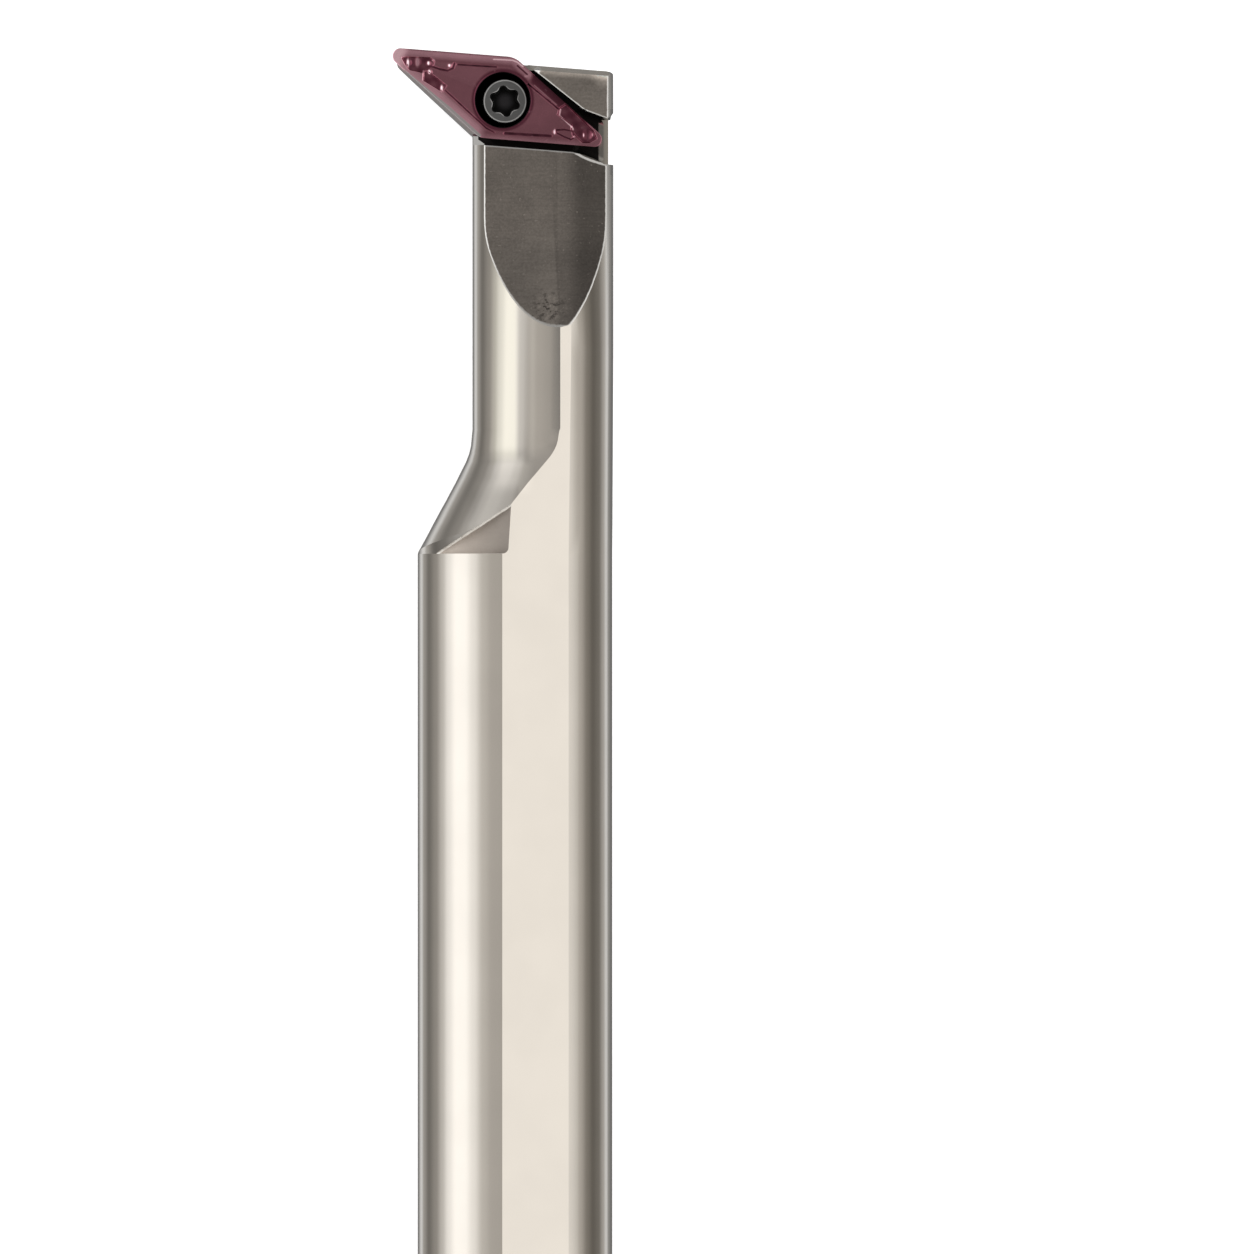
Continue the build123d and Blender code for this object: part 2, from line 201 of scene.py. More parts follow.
class ScrewSettings(bpy.types.PropertyGroup):
    """Colours and gloss of the clamping screw."""

    black: FloatVectorProperty(
        name="Blackened colour", description="Reflected colour of the blackened steel",
        default=(0.20, 0.20, 0.20), subtype="COLOR", size=3, min=0, max=1,
    )
    rubbed: FloatVectorProperty(
        name="Rubbed colour", description="Reflected colour where the blackening is rubbed thin",
        default=(0.85, 0.85, 0.84), subtype="COLOR", size=3, min=0, max=1,
    )
    roughness: FloatProperty(
        name="Screw roughness", description="Roughness of the blackened steel", default=0.36, min=0, max=1,
    )


# Nodes


def new_material(name):
    """Empty node material and its tree."""
    material = bpy.data.materials.new(name)
    material.use_nodes = True
    tree = material.node_tree
    tree.nodes.clear()
    return material, tree


def new_group(name, inputs, outputs):
    """Node group whose sockets are given as name and kind; gives its tree, inputs and result."""
    tree = bpy.data.node_groups.new(name, "ShaderNodeTree")
    for label, kind in inputs:
        tree.interface.new_socket(name=label, in_out="INPUT", socket_type=kind)
    for label, kind in outputs:
        tree.interface.new_socket(name=label, in_out="OUTPUT", socket_type=kind)
    given = tree.nodes.new("NodeGroupInput")
    result = tree.nodes.new("NodeGroupOutput")
    return tree, given.outputs, result.inputs


def feed(tree, value, socket):
    """Links a socket, or sets a plain number or colour, into an input."""
    if isinstance(value, bpy.types.NodeSocket):
        tree.links.new(value, socket)
    else:
        socket.default_value = value


def place_group(tree, group, **values):
    """Places a node group; names of values are its inputs with underscores for spaces."""
    made = tree.nodes.new("ShaderNodeGroup")
    made.node_tree = group
    for label, value in values.items():
        feed(tree, value, made.inputs[label.replace("_", " ")])
    return made.outputs


def calc(tree, operation, *operands):
    """Result of a maths node on sockets or plain numbers."""
    made = tree.nodes.new("ShaderNodeMath")
    made.operation = operation
    for socket, operand in zip(made.inputs, operands):
        feed(tree, operand, socket)
    return made.outputs[0]


def vector_calc(tree, operation, first, second=None, scale=None):
    """Result of a vector maths node; a dot product or length gives a number."""
    made = tree.nodes.new("ShaderNodeVectorMath")
    made.operation = operation
    feed(tree, first, made.inputs[0])
    if second is not None:
        feed(tree, second, made.inputs[1])
    if scale is not None:
        feed(tree, scale, made.inputs["Scale"])
    single = operation in ("DOT_PRODUCT", "LENGTH")
    return made.outputs["Value" if single else "Vector"]


def blend_from(tree, value, start, end, smooth=True):
    """0 at start and 1 at end, clamped, with a soft run between."""
    made = tree.nodes.new("ShaderNodeMapRange")
    made.interpolation_type = "SMOOTHSTEP" if smooth else "LINEAR"
    feed(tree, value, made.inputs["Value"])
    made.inputs["From Min"].default_value = start
    made.inputs["From Max"].default_value = end
    return made.outputs["Result"]


def all_of(tree, *masks):
    """Product of several masks."""
    result = masks[0]
    for mask in masks[1:]:
        result = calc(tree, "MULTIPLY", result, mask)
    return result


def any_of(tree, *masks):
    """Largest of several masks."""
    result = masks[0]
    for mask in masks[1:]:
        result = calc(tree, "MAXIMUM", result, mask)
    return result


def above(tree, value, limit):
    """1 where a value is over a limit."""
    return calc(tree, "GREATER_THAN", value, limit)


def below(tree, value, limit):
    """1 where a value is under a limit."""
    return calc(tree, "LESS_THAN", value, limit)


def within(tree, value, low, high):
    """1 where a value is between two limits."""
    return all_of(tree, above(tree, value, low), below(tree, value, high))


def off(tree, value, place):
    """Distance of a value from a place, the same on both sides."""
    return calc(tree, "ABSOLUTE", calc(tree, "SUBTRACT", value, place))


def swung(tree, value, height, middle=0.0):
    """Value from 0 to 1 turned into a swing of the given height about a middle."""
    return calc(tree, "MULTIPLY_ADD", value, height, middle - height / 2)


def line_distance(tree, x, y, turn, point):
    """Distance ahead of a line through a point, whose normal is turned from y towards x."""
    start = math.sin(turn) * point[0] + math.cos(turn) * point[1]
    ahead = calc(tree, "MULTIPLY_ADD", x, math.sin(turn), -start)
    return calc(tree, "MULTIPLY_ADD", y, math.cos(turn), ahead)


def point_distance(tree, x, y, point):
    """Distance from a point in the head's plane."""
    off_x = calc(tree, "SUBTRACT", x, point[0])
    off_y = calc(tree, "SUBTRACT", y, point[1])
    squares = calc(tree, "ADD", calc(tree, "MULTIPLY", off_x, off_x), calc(tree, "MULTIPLY", off_y, off_y))
    return calc(tree, "SQRT", squares)


def mix_colour(tree, mask, first, second, blend="MIX"):
    """First colour where the mask is 0 and second where it is 1."""
    made = tree.nodes.new("ShaderNodeMix")
    made.data_type = "RGBA"
    made.blend_type = blend
    colours = [socket for socket in made.inputs if socket.type == "RGBA"]
    feed(tree, mask, made.inputs["Factor"])
    for colour, socket in zip((first, second), colours):
        feed(tree, colour if isinstance(colour, bpy.types.NodeSocket) else (*colour, 1), socket)
    return next(socket for socket in made.outputs if socket.type == "RGBA")


def mix_value(tree, mask, first, second):
    """First number where the mask is 0 and second where it is 1."""
    made = tree.nodes.new("ShaderNodeMix")
    feed(tree, mask, made.inputs[0])
    feed(tree, first, made.inputs[2])
    feed(tree, second, made.inputs[3])
    return made.outputs[0]


def scaled(colour, share):
    """Colour with each of its parts multiplied by a share."""
    return [part * share for part in colour]


def multiplied(tree, colour, share):
    """Colour times the socket of another colour or of a number."""
    return mix_colour(tree, 1.0, colour, share, blend="MULTIPLY")


def shaded(tree, tone, mask, factor, plain=1.0):
    """Tone times the factor where the mask is 1, and times the plain one where it is 0."""
    return calc(tree, "MULTIPLY", tone, mix_value(tree, mask, plain, factor))


def leaned(tree, normal, lean, mask):
    """Normal with a lean added where the mask is 1, not yet brought back to a length of one."""
    return vector_calc(tree, "ADD", normal, vector_calc(tree, "SCALE", lean, scale=mask))


def noise(tree, vector, scale, detail=2.0, roughness=0.5):
    """Noise value between about 0.25 and 0.75."""
    made = tree.nodes.new("ShaderNodeTexNoise")
    feed(tree, vector, made.inputs["Vector"])
    made.inputs["Scale"].default_value = scale
    made.inputs["Detail"].default_value = detail
    made.inputs["Roughness"].default_value = roughness
    return made.outputs["Fac"]


def stretched(tree, vector, scale):
    """Vector with its own scale on each axis."""
    made = tree.nodes.new("ShaderNodeMapping")
    feed(tree, vector, made.inputs["Vector"])
    made.inputs["Scale"].default_value = scale
    return made.outputs["Vector"]


def bumped(tree, height, distance, strength, normal=None):
    """Normal with a fine relief whose height is given in metres for a mask of 1."""
    made = tree.nodes.new("ShaderNodeBump")
    made.inputs["Distance"].default_value = distance
    made.inputs["Strength"].default_value = strength
    feed(tree, height, made.inputs["Height"])
    if normal is not None:
        feed(tree, normal, made.inputs["Normal"])
    return made.outputs["Normal"]


def principled(tree, metallic, **linked):
    """Principled shader on the output; names of values are its inputs with underscores for spaces."""
    shader = tree.nodes.new("ShaderNodeBsdfPrincipled")
    shader.inputs["Metallic"].default_value = metallic
    for label, value in linked.items():
        feed(tree, value, shader.inputs[label.replace("_", " ")])
    out = tree.nodes.new("ShaderNodeOutputMaterial")
    tree.links.new(shader.outputs[0], out.inputs["Surface"])
    return shader


def head_axes_group():
    """Parts of a vector across the head, along the bar and out of the insert."""
    tree, given, result = new_group(
        "head_axes", [("Vector", "NodeSocketVector")],
        [("Across", "NodeSocketFloat"), ("Along", "NodeSocketFloat"), ("Out", "NodeSocketFloat")],
    )
    for socket, direction in zip(result, (ACROSS, ALONG, OUTWARD)):
        tree.links.new(vector_calc(tree, "DOT_PRODUCT", given["Vector"], direction), socket)
    return tree


# The parts of a noise that are spread over 0 to 1, for soft clouds and for sparse specks
NOISE_SPAN = (0.3, 0.7)
SPECK_SPAN = (0.70, 0.78)
# How uneven an edge line's width is, and the share of it within which the line is full
EDGE_UNEVENNESS = 0.8
EDGE_FULL = 0.35


def edge_line_group():
    """1 on an edge, falling to 0 at the width from it, with a slightly uneven border."""
    tree, given, result = new_group(
        "edge_line",
        [("Vector", "NodeSocketVector"), ("Distance", "NodeSocketFloat"), ("Width", "NodeSocketFloat")],
        [("Mask", "NodeSocketFloat")],
    )
    uneven = swung(tree, noise(tree, given["Vector"], scale=2600, detail=3), EDGE_UNEVENNESS, 1.0)
    width = calc(tree, "MULTIPLY", given["Width"], uneven)
    share = calc(tree, "DIVIDE", calc(tree, "ABSOLUTE", given["Distance"]), width)
    tree.links.new(blend_from(tree, share, 1.0, EDGE_FULL), result["Mask"])
    return tree


def metal_grain_group():
    """Patchy tone, fine grain and sparse light specks of a milled or blasted metal."""
    tree, given, result = new_group(
        "metal_grain", [("Vector", "NodeSocketVector")],
        [("Patches", "NodeSocketFloat"), ("Grain", "NodeSocketFloat"), ("Specks", "NodeSocketFloat")],
    )
    patches = noise(tree, given["Vector"], scale=420, detail=4, roughness=0.6)
    tree.links.new(blend_from(tree, patches, *NOISE_SPAN), result["Patches"])
    grain = noise(tree, given["Vector"], scale=5200, detail=3, roughness=0.65)
    tree.links.new(blend_from(tree, grain, *NOISE_SPAN), result["Grain"])
    specks = noise(tree, given["Vector"], scale=3900, detail=1, roughness=0.4)
    tree.links.new(blend_from(tree, specks, *SPECK_SPAN), result["Specks"])
    return tree


# Studio


# Brightness of the studio round the bar and how warm it is, by the angle in degrees from the
# outward direction, negative to the left: softboxes left and right, a dark slot overhead and
# thin strips low down.
STUDIO_RING = (
    (-180, 0.20, 0.0),
    (-164, 0.21, 0.0),
    (-147, 0.70, -0.3),
    (-138, 0.36, 0.3),
    (-124, 0.185, 0.5),
    (-108, 0.31, 0.5),
    (-96, 0.58, 0.2),
    (-86, 0.96, 0.0),
    (-74, 1.24, 0.0),
    (-62, 1.22, 0.0),
    (-50, 0.94, 0.1),
    (-38, 0.57, 0.4),
    (-26, 0.45, 0.5),
    (-12, 0.40, 0.5),
    (2, 0.22, 0.3),
    (14, 0.40, 0.2),
    (24, 0.99, 0.35),
    (56, 1.00, 0.2),
    (66, 1.00, 0.0),
    (74, 0.80, 0.3),
    (84, 0.46, 0.6),
    (96, 0.22, 1.0),
    (106, 0.135, 1.0),
    (118, 0.18, 0.8),
    (130, 0.41, 0.3),
    (139, 0.71, -0.3),
    (148, 0.28, 0.0),
    (160, 0.17, 0.0),
    (180, 0.20, 0.0),
)
WARM_TINT = (1.0, 0.94, 0.86)
# The even light ahead of the bar: its level, its share, and where it starts and is full
FRONT_LEVEL = 0.245
FRONT_SHARE = 0.70
FRONT_RUN = (0.20, 0.80)
# What the floor's paler clouds and its lift towards white come to
FLOOR_CLOUD = 0.98
FLOOR_LIFT = 0.62


def ring_place(angle):
    """Place on the ring's ramp, from 0 to 1, of an angle in degrees."""
    return (angle + 180) / 360


def build_world(settings):
    """White to the camera, a ring of soft light and dark to gloss, and even light to the rest.

    The ring's angle is the arctangent of a direction's share across the head over its share
    outwards. Ahead of the bar the ring fades into one even, dimmer level.
    """
    world = bpy.data.worlds.new("studio")
    bpy.context.scene.world = world
    world.use_nodes = True
    tree = world.node_tree
    tree.nodes.clear()
    direction = tree.nodes.new("ShaderNodeTexCoord").outputs["Generated"]
    sideways = vector_calc(tree, "DOT_PRODUCT", direction, ACROSS)
    outward = vector_calc(tree, "DOT_PRODUCT", direction, OUTWARD)
    ahead = vector_calc(tree, "DOT_PRODUCT", direction, ALONG)
    turn = calc(tree, "ARCTAN2", sideways, outward)
    ramp = tree.nodes.new("ShaderNodeValToRGB")
    ramp.color_ramp.interpolation = "EASE"
    stops = ramp.color_ramp.elements
    stops.remove(stops[0])
    stops[0].position = ring_place(STUDIO_RING[0][0])
    for angle, *_ in STUDIO_RING[1:]:
        stops.new(ring_place(angle))
    for stop, (_, level, warmth) in zip(stops, STUDIO_RING):
        stop.color = (*[level * (1 + warmth * (part - 1)) for part in WARM_TINT], 1)
    tree.links.new(blend_from(tree, turn, -math.pi, math.pi, smooth=False), ramp.inputs["Fac"])
    evened = calc(tree, "MULTIPLY", blend_from(tree, ahead, *FRONT_RUN), FRONT_SHARE)
    round_light = mix_colour(tree, evened, ramp.outputs["Color"], [FRONT_LEVEL] * 3)
    ring = tree.nodes.new("ShaderNodeBackground")
    tree.links.new(round_light, ring.inputs["Color"])
    even = tree.nodes.new("ShaderNodeBackground")
    even.inputs["Color"].default_value = (1, 1, 1, 1)
    even.inputs["Strength"].default_value = settings.soft_light
    white = tree.nodes.new("ShaderNodeBackground")
    white.inputs["Color"].default_value = (1, 1, 1, 1)
    rays = tree.nodes.new("ShaderNodeLightPath")
    lit = tree.nodes.new("ShaderNodeMixShader")
    tree.links.new(rays.outputs["Is Glossy Ray"], lit.inputs["Fac"])
    tree.links.new(even.outputs[0], lit.inputs[1])
    tree.links.new(ring.outputs[0], lit.inputs[2])
    seen = tree.nodes.new("ShaderNodeMixShader")
    tree.links.new(rays.outputs["Is Camera Ray"], seen.inputs["Fac"])
    tree.links.new(lit.outputs[0], seen.inputs[1])
    tree.links.new(white.outputs[0], seen.inputs[2])
    out = tree.nodes.new("ShaderNodeOutputWorld")
    tree.links.new(seen.outputs[0], out.inputs["Surface"])


def floor_material(settings):
    """Pale floor that keeps the shadow, lifted to white for the camera and open to reflections."""
    material, tree = new_material("pale_floor")
    matt = tree.nodes.new("ShaderNodeBsdfDiffuse")
    place = tree.nodes.new("ShaderNodeTexCoord").outputs["Object"]
    cloudy = noise(tree, place, scale=9.0)
    clouded = scaled(settings.floor_colour, FLOOR_CLOUD)
    tree.links.new(mix_colour(tree, cloudy, settings.floor_colour, clouded), matt.inputs["Color"])
    glow = tree.nodes.new("ShaderNodeEmission")
    rays = tree.nodes.new("ShaderNodeLightPath")
    lift = calc(tree, "MULTIPLY", rays.outputs["Is Camera Ray"], FLOOR_LIFT)
    tree.links.new(lift, glow.inputs["Strength"])
    solid = tree.nodes.new("ShaderNodeAddShader")
    tree.links.new(matt.outputs[0], solid.inputs[0])
    tree.links.new(glow.outputs[0], solid.inputs[1])
    clear = tree.nodes.new("ShaderNodeBsdfTransparent")
    both = tree.nodes.new("ShaderNodeMixShader")
    tree.links.new(rays.outputs["Is Glossy Ray"], both.inputs["Fac"])
    tree.links.new(solid.outputs[0], both.inputs[1])
    tree.links.new(clear.outputs[0], both.inputs[2])
    out = tree.nodes.new("ShaderNodeOutputMaterial")
    tree.links.new(both.outputs[0], out.inputs["Surface"])
    return material


def floor_mesh(side):
    """Square of the given side at the height of the bar's lowest point."""
    half = side / 2
    low = CAD_LOW.z
    corners = np.array([(-half, -half, low), (half, -half, low), (half, half, low), (-half, half, low)])
    mesh = bpy.data.meshes.new("floor")
    mesh.from_pydata(corners.tolist(), [], [(0, 1, 2, 3)])
    return mesh


def add_camera(settings):
    """Looks square onto the insert's top face, with the bar upright in the picture."""
    data = bpy.data.cameras.new("camera")
    data.sensor_width = 36
    data.lens = data.sensor_width * settings.distance / settings.frame_side
    data.clip_start = 0.05
    data.clip_end = 40
    camera = bpy.data.objects.new("camera", data)
    bpy.context.scene.collection.objects.link(camera)
    target = ACROSS * settings.look_across + ALONG * (CAD_HIGH.y - settings.look_back)
    turn = Matrix((ACROSS, ALONG, OUTWARD)).transposed().to_4x4()
    camera.matrix_world = Matrix.Translation(target + OUTWARD * settings.distance) @ turn
    bpy.context.scene.camera = camera


class BORINGBAR_OT_stage(bpy.types.Operator):
    """Adds the pale floor, the studio light and the camera."""

    bl_idname = "boringbar.stage"
    bl_label = "Studio"

    def execute(self, context):
        settings = context.scene.boringbar_stage
        floor = bpy.data.objects.new("floor", floor_mesh(settings.floor_side))
        context.scene.collection.objects.link(floor)
        floor.data.materials.append(floor_material(settings))
        build_world(settings)
        add_camera(settings)
        context.scene.view_settings.view_transform = "Standard"
        return {"FINISHED"}


# Bar


def round_field(tree, place, x, z, radius):
    """Distance inside a round along the bar, and the direction out of it."""
    centre = ACROSS * x + OUTWARD * z
    spoke = vector_calc(tree, "MULTIPLY", vector_calc(tree, "SUBTRACT", place, centre), (1, 0, 1))
    inside = calc(tree, "SUBTRACT", radius, vector_calc(tree, "LENGTH", spoke))
    return inside, vector_calc(tree, "NORMALIZE", spoke)


def insert_side_point(turn, distance):
    """Point at a distance from the insert's centre along a side's normal, in the head's axes."""
    return INSERT_X + distance * math.sin(turn), INSERT_Y + distance * math.cos(turn)


# Walls, edges and corners of the head: turns, points and limits in the head's axes
FRONT_TURN = INSERT_TURN - INSERT_TIP
SIDE_TURN = INSERT_TURN + INSERT_TIP
BACK_WALL = insert_side_point(FRONT_TURN, -INSERT_HALF - 0.56 * MM)
BACK_WALL_REACH = (139.5 * MM, 143.2 * MM)
SIDE_WALL = insert_side_point(SIDE_TURN, INSERT_HALF + 0.22 * MM)
SIDE_WALL_TURN = SIDE_TURN - math.radians(3.6)
FLOOR_TOP = 2.1 * MM
FLOOR_START = 139.8 * MM
GAP_END = 148.2 * MM
RAMP_LOW = 3.3 * MM
GULLET_TOP = 4.8 * MM
NOTCH_CORNER = (7.63 * MM, 144.2 * MM)
NOTCH_TURN = math.radians(20.3)
NOTCH_ARC_CENTRE = (8.78 * MM, 147.60 * MM)
NOTCH_ARC_R = 7.3 * MM
NOTCH_EDGE = 7.05 * MM
NOTCH_SIDE = 6.6 * MM
NOTCH_REACH = (139.6 * MM, 145.0 * MM)
LIP_TURN = math.radians(-50)
NOSE_LIP = 0.5 * MM - INSERT_HALF
NOSE_START = 142.7 * MM
LEDGE_START = 141.9 * MM
STRIP_EDGE = -2.52 * MM
STRIP_REACH = 0.5 * MM
STRIP_END = (-2.75 * MM, 142.34 * MM)
STRIP_END_TURN = math.radians(34.8)
BLOCK_START = 142.5 * MM
BLOCK_TIP = (1.88 * MM, 148.15 * MM)
BLOCK_CORNER = (7.3 * MM, 147.7 * MM)
FRONT_EDGE = (4.5 * MM, 148.5 * MM)
RIDGE_SLANT = 0.055
CREST_X = RIDGE_X - 0.5 * MM
PITS = (2.8 * MM, 128.6 * MM)

# The relief beside the flat: its facet, the crease along it and the sliver of the round left there
FACET_SLOPE = math.radians(25)
FACET_NORMAL = (-math.sin(FACET_SLOPE), math.cos(FACET_SLOPE))
FACET_TIP = (-6.52 * MM, SHOULDER_Y)
FACET_TOP = (-0.27 * MM, SHOULDER_Y + 4.05 * MM)
FACET_REACH = (SHOULDER_Y + 0.01 * MM, FACET_TOP[1] + 0.1 * MM)
CREASE_TURN = math.atan2(FACET_TIP[1] - FACET_TOP[1], FACET_TOP[0] - FACET_TIP[0])
CREASE_SHIFT = 0.09 * MM
SLIVER_RIGHT = -3.0 * MM
SHADE_RIGHT = FACET_TOP[0] + 0.6 * MM

# Limits of a face's normal: its share outwards, along the bar or square to the facet
LEVEL_OUT = 0.85
RAMP_OUT = 0.6
RAMP_ALONG = 0.03
FACET_SQUARE = 0.9975
FACET_ALONG = 0.02
FLOOR_OUT = 0.3
WALL_OUT = 0.5
BACK_WALL_ALONG = 0.35
SIDE_WALL_ALONG = -0.2
SLIVER_ALONG = 0.06
LEDGE_OUT = 0.9
SHADE_OUT = 0.968

# Soft borders, each by where its mask is 0 and where it is full
FLOOR_RIGHT = (6.95 * MM, 6.80 * MM)
LEDGE_END = (142.95 * MM, 142.75 * MM)
GLINT_BORDER = (0.34 * MM, 0.12 * MM)
RIDGE_FADE = (141.0 * MM, 129.0 * MM)
RIDGE_SHARP = (RIDGE_X - 0.05 * MM, RIDGE_X + 0.15 * MM)
RIDGE_SOFT = (RIDGE_X - 1.6 * MM, RIDGE_X + 2.4 * MM)
CREST_BORDER = (1.3 * MM, 0.0)
CREST_FADE = (139.0 * MM, 131.0 * MM)
FAR_SIDE = (3.9 * MM, 5.7 * MM)
UPPER_END = (133.5 * MM, 139.0 * MM)
FRONT_BORDER = (-1.1 * MM, -0.35 * MM)
CORNER_BORDER = (1.3 * MM, 0.2 * MM)
PITS_BORDER = (2.2 * MM, 0.0)
PIT_NOISE = (0.53, 0.60)
CHIP_NOISE = (0.44, 0.37)
NECK_START = (115.5 * MM, 116.2 * MM)
# Painted shade: a darker band on the neck, right of its highlight
SHADE_BAND_X = 0.62 * MM
SHADE_BAND_BORDER = (1.0 * MM, 0.15 * MM)
# Painted shade that dims and yellows the neck's highlight
HIGHLIGHT_SHADE_LEFT = (-2.35 * MM, -1.45 * MM)
HIGHLIGHT_SHADE_RIGHT = (0.45 * MM, -0.15 * MM)
# Painted highlight on the shoulder, just below the neck
PAINTED_HIGHLIGHT_X = -0.2 * MM
PAINTED_HIGHLIGHT_BORDER = (2.0 * MM, 0.5 * MM)
PAINTED_HIGHLIGHT_START = (113.0 * MM, 114.8 * MM)
PAINTED_HIGHLIGHT_END = (116.8 * MM, 115.6 * MM)
# Painted shade on the lower shoulder
SHADE_END = (114.4 * MM, 113.0 * MM)
SHADE_LEFT = (-4.3 * MM, -3.2 * MM)
# Painted light and shade on the sliver: lighter at its left end, darker to the right
SLIVER_FADE = (-7.2 * MM, -6.4 * MM)
# Painted shade in the notch, lighter towards the outside
NOTCH_FADE = (7.1 * MM, 7.55 * MM)

# Milled faces: how far each noise swings the tone, and what each part's tone is multiplied by or gains:
# painted light and shade on the ridge, far side, upper end, block's front and corner, crest and facet, and
# marks of the metal in the pits, chips and specks
PATCH_SWING = 0.12
GRAIN_SWING = 0.22
CUTTER_SWING = 0.3
FACET_GRAIN = 0.15
RIDGE_LEFT_LIGHT = 1.06
RIDGE_RIGHT_SHADE = 0.84
FAR_SIDE_SHADE = 0.60
UPPER_END_SHADE = 0.87
BLOCK_FRONT_LIGHT = 2.7
BLOCK_CORNER_LIGHT = 1.9
PIT_FACTOR = 0.35
CREST_LIGHT = 0.12
CHIP_GAIN = 0.45
SPECK_GAIN = 0.4
FACET_LIGHT_AND_SHADE = (2.85, 1.38)

# Plated steel: shares of its own colour, all but the clouds' being painted light and shade; the colour of
# the painted shade that dims the neck's highlight; and the colours of the small faces and the edges, which
# the painted glint also takes
CLOUD_SHARE = 0.965
SHADE_BAND_SHARE = 0.68
PAINTED_HIGHLIGHT_SHARE = 1.18
SHADE_SHARE = 0.87
SLIVER_LIGHT_AND_SHADE = (1.12, 0.70)
NOTCH_SHADES = (0.50, 0.72)
NOTCH_WALL_SHADE = 0.25
HIGHLIGHT_SHADE_COLOUR = (0.77, 0.73, 0.635)
NOSE_COLOUR = (0.81, 0.79, 0.78)
LEDGE_COLOUR = (0.76, 0.76, 0.755)
EDGE_COLOUR = (0.86, 0.84, 0.81)

# Roughness of the small parts, the swings about the settings' own, and the relief of the milled grain
EDGE_ROUGHNESS = 0.25
POCKET_ROUGHNESS = 0.6
SMOOTH_SWING = 0.06
MATT_SWING = 0.08
MILLED_RELIEF = 0.004 * MM

# Scales of the marks that a milling cutter leaves across the bar and that drawing leaves along it
CUTTER_MARKS = (420, 6200, 420)
DRAWN_MARKS = (900, 14, 900)

# How far the rounded edges and the small faces lean from the faces that they lie in
BACK_LEAN = ALONG * 0.55 - ACROSS * 0.1
NOTCH_LOW_LEAN = ALONG * 0.4 + ACROSS * 0.2
NOTCH_HIGH_LEAN = ALONG * -0.5 - ACROSS * 0.25
SIDE_LEAN = ACROSS * -0.35 - ALONG * 0.3
LIP_LEAN = ALONG * -0.4 + ACROSS * 0.4
CREASE_LEAN = ACROSS * -0.20
SMALL_FACE_LEANS = {"sliver": ALONG * 0.52, "ledge": ACROSS * -0.29, "glint": ACROSS * -0.55}


def milled_faces(tree, spot, facing):
    """Masks of the gullet, of its parts behind the insert and on the block, and of the facet."""
    x, y, z = spot
    nx, ny, nz = facing
    ahead = above(tree, y, GULLET_START)
    level = all_of(tree, above(tree, nz, LEVEL_OUT), within(tree, z, FLOOR_TOP, GULLET_TOP), ahead)
    ramp = all_of(
        tree, above(tree, ny, RAMP_ALONG), above(tree, nz, RAMP_OUT), above(tree, z, RAMP_LOW), ahead
    )
    gullet = any_of(tree, level, ramp)
    square = calc(tree, "MULTIPLY_ADD", nz, FACET_NORMAL[1], calc(tree, "MULTIPLY", nx, FACET_NORMAL[0]))
    facet = all_of(
        tree, above(tree, square, FACET_SQUARE), within(tree, y, *FACET_REACH),
        below(tree, calc(tree, "ABSOLUTE", ny), FACET_ALONG),
    )
    return {
        "gullet": gullet,
        "behind": all_of(tree, gullet, below(tree, y, BLOCK_START)),
        "block": all_of(tree, gullet, above(tree, y, BLOCK_START)),
        "facet": facet,
    }


def pocket_faces(tree, spot, facing, past_side):
    """Mask of the pocket's floor and of its walls behind and beside the insert, which take painted shade."""
    x, y, z = spot
    _, ny, nz = facing
    corner = all_of(
        tree, above(tree, line_distance(tree, x, y, STRIP_END_TURN, STRIP_END), 0.0),
        above(tree, x, STRIP_EDGE - STRIP_REACH),
    )
    floor = all_of(
        tree, above(tree, nz, FLOOR_OUT), below(tree, z, FLOOR_TOP), within(tree, y, FLOOR_START, GAP_END),
        blend_from(tree, x, *FLOOR_RIGHT),
        any_of(tree, above(tree, past_side, NOSE_LIP), corner, above(tree, x, STRIP_EDGE)),
    )
    back_walls = all_of(
        tree, above(tree, ny, BACK_WALL_ALONG), below(tree, calc(tree, "ABSOLUTE", nz), WALL_OUT),
        within(tree, y, *BACK_WALL_REACH),
    )
    side_walls = all_of(
        tree, below(tree, ny, SIDE_WALL_ALONG), within(tree, y, BLOCK_START, GAP_END),
        above(tree, past_side, 0.0), below(tree, x, NOTCH_EDGE),
    )
    return any_of(tree, floor, back_walls, side_walls)


def small_faces(tree, spot, facing, past_side, crease):
    """Masks of the sliver beside the relief, the ledge under the insert and the painted glint, a painted
    highlight, on the block.
    """
    x, y, z = spot
    _, ny, nz = facing
    sliver = all_of(
        tree, above(tree, crease, 0.0), within(tree, y, SHOULDER_Y, FACET_TOP[1]),
        below(tree, x, SLIVER_RIGHT), below(tree, calc(tree, "ABSOLUTE", ny), SLIVER_ALONG),
    )
    ledge = all_of(
        tree, above(tree, nz, LEDGE_OUT), below(tree, z, FLOOR_TOP), below(tree, past_side, NOSE_LIP),
        above(tree, y, LEDGE_START), blend_from(tree, y, *LEDGE_END),
    )
    from_tip = point_distance(tree, x, y, BLOCK_TIP)
    glint = all_of(tree, blend_from(tree, from_tip, *GLINT_BORDER), above(tree, z, FLOOR_TOP))
    return {"sliver": sliver, "ledge": ledge, "glint": glint}


